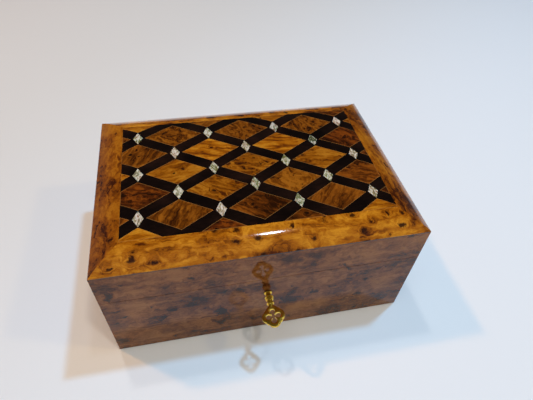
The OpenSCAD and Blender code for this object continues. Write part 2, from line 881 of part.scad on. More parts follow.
base_felt();
base_board();
key_well();
sound_board();
front_wall();
back_wall();
left_wall();
right_wall();
divider();
compartment_lining();
cover_ledges();
movement_cover();
lock_case();
lock_screws();
case_hinge_leaves();
hinge_pins();
case_hinge_screws();
lid_front_rail();
lid_back_rail();
lid_left_rail();
lid_right_rail();
crown_board();
front_border();
back_border();
left_border();
right_border();
ebony_lattice();
burl_lozenges();
pearl_inlays();
lid_lining();
lid_mirror();
lid_hinge_leaves();
lid_hinge_screws();
lock_strike();
strike_screws();
lock_key();
lock_bolt();
bedplate();
bedplate_screws();
barrel_bridge();
bridge_screws();
bearing_brackets();
frame_screws();
comb();
comb_screws();
governor_frame();
click_spring();
plunger_guide();
stop_plunger();
winding_arbor();
ratchet_wheel();
winding_key();
click();
spring_barrel();
mainspring();
music_cylinder();
melody_pins();
cylinder_gears();
governor_wheel();
air_brake();
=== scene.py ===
"""Looks of a wind-up music box: a burl veneered casket with a crowned marquetry lid.

Sizes inside this script are in millimetres and become metres when a mesh is made. The frame is the
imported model's: +X right, +Y to the back, +Z up, with the origin under the middle of the casket.
"""

import json
import logging
import math
import random
from collections.abc import Callable, Sequence
from dataclasses import dataclass, field
from enum import Enum

import bmesh
import bpy
from mathutils import Matrix, Vector


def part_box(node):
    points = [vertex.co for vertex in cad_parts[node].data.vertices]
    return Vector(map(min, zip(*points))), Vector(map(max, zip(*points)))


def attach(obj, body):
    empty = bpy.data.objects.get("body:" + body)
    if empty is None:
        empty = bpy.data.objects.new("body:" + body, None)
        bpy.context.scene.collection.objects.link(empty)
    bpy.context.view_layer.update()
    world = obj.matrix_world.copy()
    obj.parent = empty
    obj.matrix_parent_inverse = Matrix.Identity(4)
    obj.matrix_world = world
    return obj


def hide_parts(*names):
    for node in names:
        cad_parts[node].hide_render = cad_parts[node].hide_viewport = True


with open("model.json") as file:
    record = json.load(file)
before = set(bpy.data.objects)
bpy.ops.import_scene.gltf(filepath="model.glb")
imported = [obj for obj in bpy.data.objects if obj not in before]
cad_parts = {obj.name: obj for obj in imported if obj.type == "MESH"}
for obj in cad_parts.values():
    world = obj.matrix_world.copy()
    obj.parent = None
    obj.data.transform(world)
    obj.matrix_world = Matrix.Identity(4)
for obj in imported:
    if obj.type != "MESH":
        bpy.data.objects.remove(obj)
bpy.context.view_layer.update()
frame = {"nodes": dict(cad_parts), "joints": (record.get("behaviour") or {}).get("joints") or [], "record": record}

log = logging.getLogger("music_box")

MM = 0.001
Point = tuple[float, float, float]
Feed = bpy.types.NodeSocket | float | tuple
WELD = 0.002  # points closer than this become one
SHARP = 28.0  # degrees; edges sharper than this are rounded and stay crisp
BODY_OF = {node: body for body, nodes in frame["record"]["behaviour"]["bodies"].items() for node in nodes}


# ---------------------------------------------------------------------------------------------
# Node graphs
# ---------------------------------------------------------------------------------------------


def tone(code: str) -> tuple[float, float, float, float]:
    """Turns a display colour into the linear one that the shaders use.

    Args:
        code: Six hexadecimal digits, red, green and blue.

    Returns:
        Linear red, green, blue and an alpha of 1.
    """
    levels = [int(code[k:k + 2], 16) / 255 for k in (0, 2, 4)]
    linear = [v / 12.92 if v <= 0.04045 else ((v + 0.055) / 1.055) ** 2.4 for v in levels]
    return (linear[0], linear[1], linear[2], 1.0)


class Graph:
    """Short hand for adding nodes to a tree and joining them."""

    def __init__(self, tree: bpy.types.NodeTree) -> None:
        """Keeps the tree that the nodes go into.

        Args:
            tree: A shader or geometry node tree.
        """
        self.tree = tree

    def add(self, kind: str, **settings: object) -> bpy.types.Node:
        """Adds a node.

        Args:
            kind: The node's type name.
            **settings: Properties to set on it.

        Returns:
            The new node.
        """
        node = self.tree.nodes.new(kind)
        for key, value in settings.items():
            setattr(node, key, value)
        return node

    def feed(self, target: bpy.types.NodeSocket, value: Feed) -> None:
        """Joins a socket to an input, or sets the input's own value.

        Args:
            target: The input socket.
            value: A socket, a number, a vector or a colour.
        """
        if isinstance(value, bpy.types.NodeSocket):
            self.tree.links.new(value, target)
        else:
            target.default_value = value

    def call(
        self, kind: str, inputs: dict, output: int | str = 0, **settings: object
    ) -> bpy.types.NodeSocket:
        """Adds a node, feeds its inputs and gives one of its outputs.

        Args:
            kind: The node's type name.
            inputs: Values by input name or number.
            output: Name or number of the output that is wanted.
            **settings: Properties to set on the node.

        Returns:
            The output socket.
        """
        node = self.add(kind, **settings)
        for key, value in inputs.items():
            self.feed(node.inputs[key], value)
        return node.outputs[output]

    def math(self, operation: str, a: Feed, b: Feed = 0.0, c: Feed = 0.0) -> bpy.types.NodeSocket:
        """Adds a Math node and gives its result."""
        return self.call("ShaderNodeMath", {0: a, 1: b, 2: c}, operation=operation)

    def vector(self, operation: str, a: Feed, b: Feed = (0.0, 0.0, 0.0)) -> bpy.types.NodeSocket:
        """Adds a Vector Math node of two vectors and gives its result."""
        return self.call("ShaderNodeVectorMath", {0: a, 1: b}, operation=operation)

    def scaled(self, a: Feed, factor: Feed) -> bpy.types.NodeSocket:
        """Gives a vector times a number."""
        return self.call("ShaderNodeVectorMath", {0: a, "Scale": factor}, operation="SCALE")

    def turned(self, place: Feed, angle: Feed) -> bpy.types.NodeSocket:
        """Turns a place about Z."""
        inputs = {"Vector": place, "Angle": angle}
        return self.call("ShaderNodeVectorRotate", inputs, rotation_type="Z_AXIS")

    def mixed(self, share: Feed, a: Feed, b: Feed, blend: str = "MIX") -> bpy.types.NodeSocket:
        """Mixes two colours and gives the result."""
        return self.call(
            "ShaderNodeMix", {0: share, 6: a, 7: b}, 2, data_type="RGBA", blend_type=blend, clamp_factor=True
        )

    def eased(self, value: Feed, start: Feed, end: Feed) -> bpy.types.NodeSocket:
        """Gives 0 before start, 1 after end and a smooth step between them."""
        return self.call(
            "ShaderNodeMapRange",
            {"Value": value, "From Min": start, "From Max": end},
            interpolation_type="SMOOTHSTEP",
        )

    def spread(self, value: Feed, low: float, high: float) -> bpy.types.NodeSocket:
        """Maps 0 to 1 onto low to high."""
        return self.call("ShaderNodeMapRange", {"Value": value, "To Min": low, "To Max": high})

    def noise(
        self, place: Feed, scale: Feed, detail: float = 2.0, roughness: float = 0.5, distortion: Feed = 0.0,
        output: str = "Fac",
    ) -> bpy.types.NodeSocket:
        """Adds a 3-D noise and gives its value or its colour."""
        inputs = {"Vector": place, "Scale": scale, "Detail": detail, "Roughness": roughness}
        return self.call("ShaderNodeTexNoise", inputs | {"Distortion": distortion}, output)

    def ramp(self, value: Feed, stops: Sequence[tuple[float, str]]) -> bpy.types.NodeSocket:
        """Adds a colour ramp.

        Args:
            value: What the ramp reads.
            stops: Positions from 0 to 1, with their colour codes.

        Returns:
            The ramp's colour.
        """
        node = self.add("ShaderNodeValToRGB")
        while len(node.color_ramp.elements) < len(stops):
            node.color_ramp.elements.new(0.5)
        for element, (position, code) in zip(node.color_ramp.elements, stops):
            element.position = position
            element.color = tone(code)
        self.feed(node.inputs[0], value)
        return node.outputs[0]

    def bump(self, height: Feed, distance: float, strength: float = 1.0) -> bpy.types.NodeSocket:
        """Turns a height from 0 to 1 into a normal, with the distance in millimetres."""
        return self.call(
            "ShaderNodeBump", {"Height": height, "Distance": distance * MM, "Strength": strength}, "Normal"
        )

    def place(self) -> bpy.types.NodeSocket:
        """Gives the object coordinates."""
        return self.add("ShaderNodeTexCoord").outputs["Object"]

    def in_mm(self, place: Feed) -> bpy.types.NodeSocket:
        """Gives a place in millimetres."""
        return self.scaled(place, 1 / MM)

    def laid(self, facing: "Facing") -> bpy.types.NodeSocket:
        """Gives the object coordinates as a flat sheet that lies on the way a surface faces.

        Args:
            facing: The way the surface faces.

        Returns:
            The place on the sheet, in metres.
        """
        parts = self.add("ShaderNodeSeparateXYZ")
        self.feed(parts.inputs[0], self.place())
        across, up = facing.value
        return self.call("ShaderNodeCombineXYZ", {0: parts.outputs[across], 1: parts.outputs[up]})

    def attribute(self, name: str, output: str = "Fac") -> bpy.types.NodeSocket:
        """Gives a mesh attribute."""
        return self.add("ShaderNodeAttribute", attribute_name=name).outputs[output]

    def height_of(self, place: Feed) -> bpy.types.NodeSocket:
        """Gives the Z of a place, in millimetres."""
        return self.math("MULTIPLY", self.call("ShaderNodeSeparateXYZ", {0: place}, 2), 1 / MM)


class Facing(Enum):
    """The way a veneered surface faces, as the two axes that lie in it."""

    UP = ("X", "Y")
    FRONT = ("X", "Z")
    END = ("Y", "Z")


class Effect:
    """A shader node group that several finishes share. A subclass names its sockets and fills it."""

    title = ""
    inputs: dict[str, float | tuple] = {}
    outputs: tuple[str, ...] = ()
    tree: bpy.types.NodeTree | None = None

    @classmethod
    def fill(cls, g: Graph, given: dict[str, bpy.types.NodeSocket]) -> dict[str, bpy.types.NodeSocket]:
        """Builds the group's inside; each effect has its own."""
        raise NotImplementedError

    @classmethod
    def built(cls) -> bpy.types.NodeTree:
        """Builds the group the first time, and gives it.

        Returns:
            The group's node tree.
        """
        if cls.tree is None:
            tree = bpy.data.node_groups.new(cls.title, "ShaderNodeTree")
            for name, value in cls.inputs.items():
                kind = "NodeSocketVector" if isinstance(value, tuple) else "NodeSocketFloat"
                socket = tree.interface.new_socket(name, in_out="INPUT", socket_type=kind)
                socket.default_value = value
            for name in cls.outputs:
                tree.interface.new_socket(name, in_out="OUTPUT", socket_type="NodeSocketFloat")
            g = Graph(tree)
            given = g.add("NodeGroupInput").outputs
            results = cls.fill(g, {name: given[name] for name in cls.inputs})
            end = g.add("NodeGroupOutput")
            for name, value in results.items():
                g.feed(end.inputs[name], value)
            cls.tree = tree
        return cls.tree

    @classmethod
    def into(cls, g: Graph, **values: Feed) -> dict[str, bpy.types.NodeSocket]:
        """Sets the group into a material.

        Args:
            g: The material's graph.
            **values: Inputs by name, with _ for a space.

        Returns:
            The group's outputs by name.
        """
        node = g.add("ShaderNodeGroup", node_tree=cls.built())
        for key, value in values.items():
            g.feed(node.inputs[key.replace("_", " ")], value)
        return {name: node.outputs[name] for name in cls.outputs}


class BurlFigure(Effect):
    """Figure of burl veneer: wavy grain, soft clouds, and dark eyes that the grain bends round."""

    title = "burl_figure"
    inputs = {
        "Place": (0.0, 0.0, 0.0), "Seed": 0.0, "Turn": 0.0, "Stretch": 0.2, "Swirl": 6.0,
        "Eye Share": 0.3, "Eye Pitch": 9.0,
    }
    outputs = ("Grain", "Fibre", "Cloud", "Eyes")

    @classmethod
    def warp(cls, g: Graph, base: Feed, flow: Feed, swirl: Feed) -> bpy.types.NodeSocket:
        """Gives the drift that bends the grain: long waves with shorter curls on them.

        Args:
            g: The group's graph.
            base: Place in millimetres.
            flow: The same place, drawn out along the grain.
            swirl: Reach of the drift in millimetres.

        Returns:
            The drift as a vector.
        """
        drift = g.vector("SUBTRACT", g.noise(flow, 0.055, 2.0, output="Color"), (0.5, 0.5, 0.5))
        waves = g.scaled(drift, swirl)
        curl = g.vector("SUBTRACT", g.noise(base, 0.16, 2.0, output="Color"), (0.5, 0.5, 0.5))
        return g.vector("ADD", waves, g.scaled(curl, g.math("MULTIPLY", swirl, 0.55)))

    @classmethod
    def eyes(
        cls, g: Graph, base: Feed, warp: Feed, given: dict[str, bpy.types.NodeSocket]
    ) -> tuple[bpy.types.NodeSocket, bpy.types.NodeSocket]:
        """Scatters eyes of many sizes, in crowds, over a flat sheet.

        Args:
            g: The group's graph.
            base: Place in millimetres.
            warp: The drift that bends the grain.
            given: The group's input sockets by name.

        Returns:
            A mask of the eyes, and a wider one of the grain that bends round them.
        """
        cell = g.add("ShaderNodeTexVoronoi", feature="F1", voronoi_dimensions="2D")
        g.feed(cell.inputs["Vector"], g.vector("ADD", g.vector("MULTIPLY", base, (0.8, 1.0, 1.0)), warp))
        g.feed(cell.inputs["Scale"], g.math("DIVIDE", 1.0, given["Eye Pitch"]))
        dice = g.add("ShaderNodeSeparateColor")
        g.feed(dice.inputs[0], cell.outputs["Color"])
        crowded = g.eased(g.noise(base, 0.03, 2.0), 0.4, 0.62)
        share = g.math("MULTIPLY", given["Eye Share"], g.spread(crowded, 0.25, 1.9))
        present = g.math("LESS_THAN", dice.outputs["Red"], share)
        rough = g.math("SUBTRACT", g.noise(base, 0.8, 3.0), 0.5)
        ragged = g.math("MULTIPLY_ADD", rough, 0.3, cell.outputs[0])
        size = g.spread(dice.outputs["Green"], 0.09, 0.3)
        spot = g.math("SUBTRACT", 1.0, g.eased(ragged, g.math("MULTIPLY", size, 0.3), size))
        eyes = g.math("MULTIPLY", spot, present)
        near = g.math("SUBTRACT", 1.0, g.eased(cell.outputs[0], 0.0, g.math("MULTIPLY", size, 3.0)))
        return eyes, g.math("MULTIPLY", near, present)

    @classmethod
    def fill(cls, g: Graph, given: dict[str, bpy.types.NodeSocket]) -> dict[str, bpy.types.NodeSocket]:
        """Builds the grain, clouds and eyes, with every length in millimetres.

        Args:
            g: The group's graph.
            given: Its input sockets by name.

        Returns:
            What feeds each output, by name.
        """
        mm = g.in_mm(given["Place"])
        turned = g.turned(mm, given["Turn"])
        seeds = g.call("ShaderNodeCombineXYZ", {0: given["Seed"], 1: given["Seed"], 2: given["Seed"]})
        base = g.vector("ADD", turned, g.vector("MULTIPLY", seeds, (37.1, 91.7, 53.3)))
        along = g.call("ShaderNodeCombineXYZ", {0: given["Stretch"], 1: 1.0, 2: 1.0})
        flow = g.vector("MULTIPLY", base, along)

        warp = cls.warp(g, base, flow, given["Swirl"])
        eyes, halo = cls.eyes(g, base, warp, given)
        push = g.scaled(g.call("ShaderNodeCombineXYZ", {0: halo, 1: halo, 2: halo}), 3.4)
        bent = g.vector("ADD", g.vector("ADD", flow, warp), push)
        grain = g.noise(bent, 0.3, 5.0, 0.62, 0.5)
        fibre = g.noise(g.vector("MULTIPLY", bent, (0.5, 1.0, 1.0)), 1.9, 3.0, 0.7)
        cloud = g.noise(g.vector("ADD", base, g.scaled(warp, 0.8)), 0.042, 3.0, 0.55)
        shaded = g.math("SUBTRACT", grain, g.math("MULTIPLY", halo, 0.1))
        return {"Grain": shaded, "Fibre": fibre, "Cloud": cloud, "Eyes": eyes}


class LacquerFilm(Effect):
    """A hand-polished lacquer film: faint smears in its gloss, and a long soft waviness."""

    title = "lacquer_film"
    inputs = {"Place": (0.0, 0.0, 0.0), "Gloss": 0.06, "Smear": 0.08}
    outputs = ("Roughness", "Height")

    @classmethod
    def fill(cls, g: Graph, given: dict[str, bpy.types.NodeSocket]) -> dict[str, bpy.types.NodeSocket]:
        """Builds the smears and the waviness.

        Args:
            g: The group's graph.
            given: Its input sockets by name.

        Returns:
            What feeds each output, by name.
        """
        mm = g.in_mm(given["Place"])
        smears = g.eased(g.noise(g.vector("MULTIPLY", mm, (0.4, 1.0, 1.0)), 0.07, 4.0, 0.6), 0.45, 0.75)
        nibs = g.eased(g.noise(mm, 1.3, 1.0), 0.7, 0.76)
        rough = g.math("MULTIPLY_ADD", smears, given["Smear"], given["Gloss"])
        rough = g.math("MULTIPLY_ADD", nibs, 0.05, rough)
        waves = g.noise(mm, 0.11, 1.0)
        return {"Roughness": rough, "Height": g.math("MULTIPLY_ADD", nibs, 0.01, waves)}


class MetalWear(Effect):
    """Handled metal: cloudy tarnish, fine scratches along one way, and smudged gloss."""

    title = "metal_wear"
    inputs = {"Place": (0.0, 0.0, 0.0), "Gloss": 0.15, "Smudge": 0.15, "Brush": 1.0}
    outputs = ("Tarnish", "Roughness", "Height")

    @classmethod
    def fill(cls, g: Graph, given: dict[str, bpy.types.NodeSocket]) -> dict[str, bpy.types.NodeSocket]:
        """Builds the tarnish clouds and the scratches.

        Args:
            g: The group's graph.
            given: Its input sockets by name.

        Returns:
            What feeds each output, by name.
        """
        mm = g.in_mm(given["Place"])
        clouds = g.eased(g.noise(mm, 0.45, 4.0, 0.65), 0.42, 0.72)
        stretched = g.vector("MULTIPLY", mm, (0.25, 3.2, 1.6))
        lines = g.noise(stretched, g.math("MULTIPLY", given["Brush"], 3.0), 3.0, 0.75)
        scratches = g.eased(g.noise(g.vector("MULTIPLY", mm, (2.2, 0.2, 0.7)), 2.4, 2.0, 0.6), 0.66, 0.72)
        rough = g.math("MULTIPLY_ADD", clouds, given["Smudge"], given["Gloss"])
        rough = g.math("MULTIPLY_ADD", scratches, 0.12, rough)
        height = g.math("MULTIPLY_ADD", scratches, -0.6, lines)
        return {"Tarnish": clouds, "Roughness": rough, "Height": height}


class ClothPile(Effect):
    """Short cut pile: tufts, brushed patches and loose fibres."""

    title = "cloth_pile"
    inputs = {"Place": (0.0, 0.0, 0.0), "Tuft": 2.4, "Brushed": 0.5}
    outputs = ("Shade", "Height")

    @classmethod
    def fill(cls, g: Graph, given: dict[str, bpy.types.NodeSocket]) -> dict[str, bpy.types.NodeSocket]:
        """Builds tufts and the patches where the pile leans another way.

        Args:
            g: The group's graph.
            given: Its input sockets by name.

        Returns:
            What feeds each output, by name.
        """
        mm = g.in_mm(given["Place"])
        tufts = g.noise(mm, given["Tuft"], 3.0, 0.7, 0.4)
        patches = g.eased(g.noise(mm, 0.05, 3.0, 0.55, 0.8), 0.4, 0.62)
        fibres = g.noise(g.vector("MULTIPLY", mm, (1.0, 0.25, 1.0)), 5.5, 2.0, 0.8)
        shade = g.math("MULTIPLY_ADD", patches, given["Brushed"], g.math("MULTIPLY", tufts, 0.5))
        return {"Shade": shade, "Height": g.math("MULTIPLY_ADD", fibres, 0.5, tufts)}


# ---------------------------------------------------------------------------------------------
# Finishes
# ---------------------------------------------------------------------------------------------


class GrainWay(Enum):
    """Which way the wood's grain runs on a piece, as a turn about Z."""

    LEFT_TO_RIGHT = 0.0
    FRONT_TO_BACK = math.pi / 2


@dataclass(frozen=True)
class Finish:
    """A surface finish. A subclass dresses the Principled shader of its material."""

    name: str

    def dress(self, g: Graph, shader: bpy.types.ShaderNode) -> None:
        """Sets the shader's sockets; each finish has its own."""
        raise NotImplementedError

    def material(self) -> bpy.types.Material:
        """Makes the material the first time, and gives it.

        Returns:
            The material of this name.
        """
        found = bpy.data.materials.get(self.name)
        if found:
            return found
        made = bpy.data.materials.new(self.name)
        made.use_nodes = True
        made.node_tree.nodes.clear()
        g = Graph(made.node_tree)
        shader = g.add("ShaderNodeBsdfPrincipled")
        out = g.add("ShaderNodeOutputMaterial")
        g.feed(out.inputs["Surface"], shader.outputs[0])
        self.dress(g, shader)
        return made


@dataclass(frozen=True)
class Lacquered(Finish):
    """Shared base of the lacquered woods: a deep clear film over the figure."""

    gloss: float = 0.05
    smear: float = 0.06
    film: float = 0.9
    waviness: float = 0.05

    def varnish(
        self, g: Graph, shader: bpy.types.ShaderNode, colour: Feed, pores: Feed, pore_depth: float = 0.004
    ) -> None:
        """Lays the film over a colour.

        Args:
            g: The material's graph.
            shader: Its Principled shader.
            colour: The wood's colour.
            pores: Height of the wood's pores, which just show through.
            pore_depth: Their depth in millimetres.
        """
        film = LacquerFilm.into(g, Place=g.place(), Gloss=self.gloss, Smear=self.smear)
        height = g.math("MULTIPLY_ADD", pores, pore_depth / self.waviness, film["Height"])
        g.feed(shader.inputs["Base Color"], colour)
        g.feed(shader.inputs["Roughness"], film["Roughness"])
        g.feed(shader.inputs["Normal"], g.bump(height, self.waviness))
        shader.inputs["IOR"].default_value = 1.5
        shader.inputs["Specular IOR Level"].default_value = 0.08
        shader.inputs["Coat Weight"].default_value = self.film
        shader.inputs["Coat Roughness"].default_value = 0.07


@dataclass(frozen=True)
class BurlVeneer(Lacquered):
    """Thuya burl under lacquer, from dark to light, with eyes. Its edge may be darkened below a given height."""

    way: GrainWay = GrainWay.LEFT_TO_RIGHT
    facing: Facing = Facing.UP
    dark: str = "4a1e04"
    middle: str = "9c580a"
    light: str = "c8841e"
    eye: str = "260e04"
    seed: float = 1.0
    stretch: float = 0.22
    swirl: float = 9.0
    eye_share: float = 0.3
    eye_pitch: float = 9.0
    dark_edge_z: float = 0.0

    def dress(self, g: Graph, shader: bpy.types.ShaderNode) -> None:
        """Colours the figure and lays the film.

        Args:
            g: The material's graph.
            shader: Its Principled shader.
        """
        place = g.place()
        figure = BurlFigure.into(
            g, Place=g.laid(self.facing), Seed=self.seed, Turn=self.way.value, Stretch=self.stretch,
            Swirl=self.swirl, Eye_Share=self.eye_share, Eye_Pitch=self.eye_pitch,
        )
        depth = g.math("MULTIPLY_ADD", figure["Cloud"], 0.75, g.math("MULTIPLY", figure["Grain"], 0.75))
        depth = g.math("MULTIPLY_ADD", figure["Fibre"], 0.22, g.math("SUBTRACT", depth, 0.36))
        stops = [(0.33, self.dark), (0.48, self.middle), (0.66, self.light)]
        colour = g.ramp(depth, stops)
        colour = g.mixed(g.math("MULTIPLY", figure["Eyes"], 0.93), colour, tone(self.eye))
        # Darkens the borders' outer side face below the given height.
        if self.dark_edge_z:
            line = g.math("LESS_THAN", g.height_of(place), self.dark_edge_z)
            colour = g.mixed(g.math("MULTIPLY", line, 0.85), colour, tone(self.eye))
        self.varnish(g, shader, colour, figure["Fibre"])


@dataclass(frozen=True)
class LozengeVeneer(Lacquered):
    """The marquetry's lozenges. Each piece's own attributes give its tone, turn, swirl and eyes."""

    def dress(self, g: Graph, shader: bpy.types.ShaderNode) -> None:
        """Mixes a dark and a light figure by each piece's tone.

        Args:
            g: The material's graph.
            shader: Its Principled shader.
        """
        figure = BurlFigure.into(
            g, Place=g.laid(Facing.UP), Seed=g.attribute("cut_seed"), Turn=g.attribute("cut_turn"),
            Stretch=0.22, Swirl=g.attribute("cut_swirl"), Eye_Share=g.attribute("cut_eyes"), Eye_Pitch=5.0,
        )
        depth = g.math("MULTIPLY_ADD", figure["Cloud"], 0.5, g.math("MULTIPLY", figure["Grain"], 1.0))
        depth = g.math("MULTIPLY_ADD", figure["Fibre"], 0.25, g.math("SUBTRACT", depth, 0.36))
        dark = g.ramp(depth, [(0.36, "150701"), (0.5, "431b05"), (0.66, "77390a")])
        light = g.ramp(depth, [(0.34, "592704"), (0.5, "9c5807"), (0.68, "be7f1e")])
        colour = g.mixed(g.attribute("cut_tone"), dark, light)
        colour = g.mixed(g.math("MULTIPLY", figure["Eyes"], 0.93), colour, tone("1d0c04"))
        rim = g.eased(g.attribute("cut_rim"), 0.05, 0.6)
        colour = g.mixed(g.math("MULTIPLY", rim, 0.5), colour, tone("a9763a"))
        self.varnish(g, shader, colour, figure["Fibre"])


@dataclass(frozen=True)
class EbonyBand(Lacquered):
    """Black-brown ebony bands with a close straight grain."""

    def dress(self, g: Graph, shader: bpy.types.ShaderNode) -> None:
        """Colours the grain and lays the film.

        Args:
            g: The material's graph.
            shader: Its Principled shader.
        """
        mm = g.in_mm(g.place())
        grain = g.noise(g.vector("MULTIPLY", mm, (0.12, 1.0, 1.0)), 1.6, 4.0, 0.7, 0.3)
        patches = g.noise(mm, 0.05, 2.0)
        depth = g.math("MULTIPLY_ADD", patches, 0.5, g.math("MULTIPLY", grain, 0.5))
        colour = g.ramp(depth, [(0.36, "070302"), (0.5, "110805"), (0.66, "24130c")])
        self.varnish(g, shader, colour, grain, 0.002)


@dataclass(frozen=True)
class PearlInlay(Lacquered):
    """Mother of pearl: silver, green-gold and rose layers that change from piece to piece."""

    def dress(self, g: Graph, shader: bpy.types.ShaderNode) -> None:
        """Lays curved growth bands over a tint of the piece's own; the bands' near-white and dark shades are a
        painted sheen.

        Args:
            g: The material's graph.
            shader: Its Principled shader.
        """
        mm = g.in_mm(g.place())
        tint = g.attribute("tint")
        shift = g.call("ShaderNodeCombineXYZ", {0: g.math("MULTIPLY", tint, 40.0), 1: tint, 2: 0.0})
        moved = g.vector("ADD", mm, shift)
        layers = g.noise(g.vector("MULTIPLY", moved, (1.0, 0.45, 1.0)), 0.4, 2.0, 0.5, 1.6)
        shells = [(0.0, "4c4f34"), (0.3, "7e8054"), (0.55, "8a7a34"), (0.8, "b48a70"), (1.0, "a9aa88")]
        body = g.ramp(tint, shells)
        # Painted sheen: near-white and dark shades laid along the growth bands.
        sheen = g.ramp(layers, [(0.36, "2a2c1c"), (0.46, "7c8058"), (0.55, "f2f1e4"), (0.66, "a97c58")])
        colour = g.mixed(0.62, body, sheen)
        flash = g.eased(layers, 0.56, 0.64)
        self.varnish(g, shader, colour, layers, 0.02)
        g.feed(shader.inputs["Metallic"], g.math("MULTIPLY", flash, 0.35))
        shader.inputs["Sheen Weight"].default_value = 0.1


@dataclass(frozen=True)
class PlainWood(Finish):
    """Unlacquered or waxed wood with straight growth lines."""

    dark: str = "8b5a2e"
    light: str = "c49563"
    way: GrainWay = GrainWay.LEFT_TO_RIGHT
    rough: float = 0.55
    layer: float = 0.0

    def dress(self, g: Graph, shader: bpy.types.ShaderNode) -> None:
        """Draws growth lines, and the layers of a plywood where it has them.

        Args:
            g: The material's graph.
            shader: Its Principled shader.
        """
        mm = g.in_mm(g.place())
        turned = g.turned(mm, self.way.value)
        flow = g.vector("MULTIPLY", turned, (0.06, 1.0, 1.0))
        bands = g.noise(flow, 0.3, 3.0, 0.6, 1.2)
        pores = g.noise(g.vector("MULTIPLY", turned, (0.1, 1.0, 1.0)), 3.5, 3.0, 0.75)
        depth = g.math("MULTIPLY_ADD", pores, 0.35, g.math("MULTIPLY", bands, 0.65))
        colour = g.ramp(depth, [(0.34, self.dark), (0.62, self.light)])
        if self.layer:
            phase = g.math("FRACT", g.math("DIVIDE", g.height_of(g.place()), self.layer))
            glue = g.eased(g.math("ABSOLUTE", g.math("SUBTRACT", phase, 0.5)), 0.4, 0.47)
            colour = g.mixed(g.math("MULTIPLY", glue, 0.45), colour, tone("4a2c14"))
        g.feed(shader.inputs["Base Color"], colour)
        g.feed(shader.inputs["Roughness"], g.spread(pores, self.rough, self.rough + 0.2))
        g.feed(shader.inputs["Normal"], g.bump(depth, 0.05))


@dataclass(frozen=True)
class Metal(Finish):
    """Bare metal with handling marks: polished, brushed or sand cast."""

    bright: str = "f0c860"
    dull: str = "9a6a22"
    gloss: float = 0.12
    smudge: float = 0.14
    brush: float = 1.0
    depth: float = 0.003
    grit: float = 0.0

    def dress(self, g: Graph, shader: bpy.types.ShaderNode) -> None:
        """Mixes bright and dull metal by the tarnish.

        Args:
            g: The material's graph.
            shader: Its Principled shader.
        """
        place = g.place()
        wear = MetalWear.into(g, Place=place, Gloss=self.gloss, Smudge=self.smudge, Brush=self.brush)
        colour = g.mixed(g.math("MULTIPLY", wear["Tarnish"], 0.7), tone(self.bright), tone(self.dull))
        height = wear["Height"]
        if self.grit:
            sand = g.noise(g.in_mm(place), 3.0, 3.0, 0.7)
            height = g.math("MULTIPLY_ADD", sand, self.grit / self.depth, height)
        g.feed(shader.inputs["Base Color"], colour)
        g.feed(shader.inputs["Roughness"], wear["Roughness"])
        g.feed(shader.inputs["Normal"], g.bump(height, self.depth))
        shader.inputs["Metallic"].default_value = 1.0


@dataclass(frozen=True)
class PileCloth(Finish):
    """Velvet or felt, with a pile that catches light at its edge."""

    dark: str = "2a0508"
    light: str = "7a1420"
    tuft: float = 2.4
    brushed: float = 0.5
    sheen: float = 1.0
    depth: float = 0.12

    def dress(self, g: Graph, shader: bpy.types.ShaderNode) -> None:
        """Shades the pile.

        Args:
            g: The material's graph.
            shader: Its Principled shader.
        """
        pile = ClothPile.into(g, Place=g.place(), Tuft=self.tuft, Brushed=self.brushed)
        colour = g.ramp(pile["Shade"], [(0.15, self.dark), (0.8, self.light)])
        g.feed(shader.inputs["Base Color"], colour)
        g.feed(shader.inputs["Roughness"], g.spread(pile["Shade"], 0.95, 0.8))
        g.feed(shader.inputs["Normal"], g.bump(pile["Height"], self.depth))
        shader.inputs["Sheen Weight"].default_value = self.sheen
        shader.inputs["Sheen Roughness"].default_value = 0.4
        shader.inputs["Specular IOR Level"].default_value = 0.15


@dataclass(frozen=True)
class ClearSheet(Finish):
    """Clear sheet over the movement, with faint wipe marks."""

    tint: str = "eef6f2"

    def dress(self, g: Graph, shader: bpy.types.ShaderNode) -> None:
        """Lets light through, with wipe marks in the gloss.

        Args:
            g: The material's graph.
            shader: Its Principled shader.
        """
        film = LacquerFilm.into(g, Place=g.place(), Gloss=0.01, Smear=0.06)
        marks = g.mixed(film["Roughness"], tone(self.tint), tone("ffffff"))
        g.feed(shader.inputs["Base Color"], marks)
        g.feed(shader.inputs["Roughness"], film["Roughness"])
        shader.inputs["IOR"].default_value = 1.49
        shader.inputs["Transmission Weight"].default_value = 1.0


@dataclass(frozen=True)
class SilveredGlass(Finish):
    """A mirror plate: silvering seen through the face that looks down, green glass at its edges."""

    def dress(self, g: Graph, shader: bpy.types.ShaderNode) -> None:
        """Silvers the faces that look up or down, and greens the edges.

        Args:
            g: The material's graph.
            shader: Its Principled shader.
        """
        normal = g.add("ShaderNodeTexCoord").outputs["Normal"]
        upright = g.math("ABSOLUTE", g.call("ShaderNodeSeparateXYZ", {0: normal}, 2))
        face = g.eased(upright, 0.5, 0.9)
        film = LacquerFilm.into(g, Place=g.place(), Gloss=0.01, Smear=0.04)
        g.feed(shader.inputs["Base Color"], g.mixed(face, tone("4f7a66"), tone("e3e8e8")))
        g.feed(shader.inputs["Metallic"], face)
        g.feed(shader.inputs["Roughness"], film["Roughness"])


@dataclass(frozen=True)
class Moulded(Finish):
    """Moulded plastic with a fine texture."""

    colour: str = "e4dcc4"
    worn: str = "c9bb96"

    def dress(self, g: Graph, shader: bpy.types.ShaderNode) -> None:
        """Colours the plastic and gives it a fine skin.

        Args:
            g: The material's graph.
            shader: Its Principled shader.
        """
        mm = g.in_mm(g.place())
        skin = g.noise(mm, 4.0, 3.0, 0.6)
        age = g.eased(g.noise(mm, 0.3, 3.0), 0.4, 0.7)
        g.feed(shader.inputs["Base Color"], g.mixed(age, tone(self.colour), tone(self.worn)))
        g.feed(shader.inputs["Roughness"], g.spread(skin, 0.32, 0.5))
        g.feed(shader.inputs["Normal"], g.bump(skin, 0.02))
        shader.inputs["Subsurface Weight"].default_value = 0.1


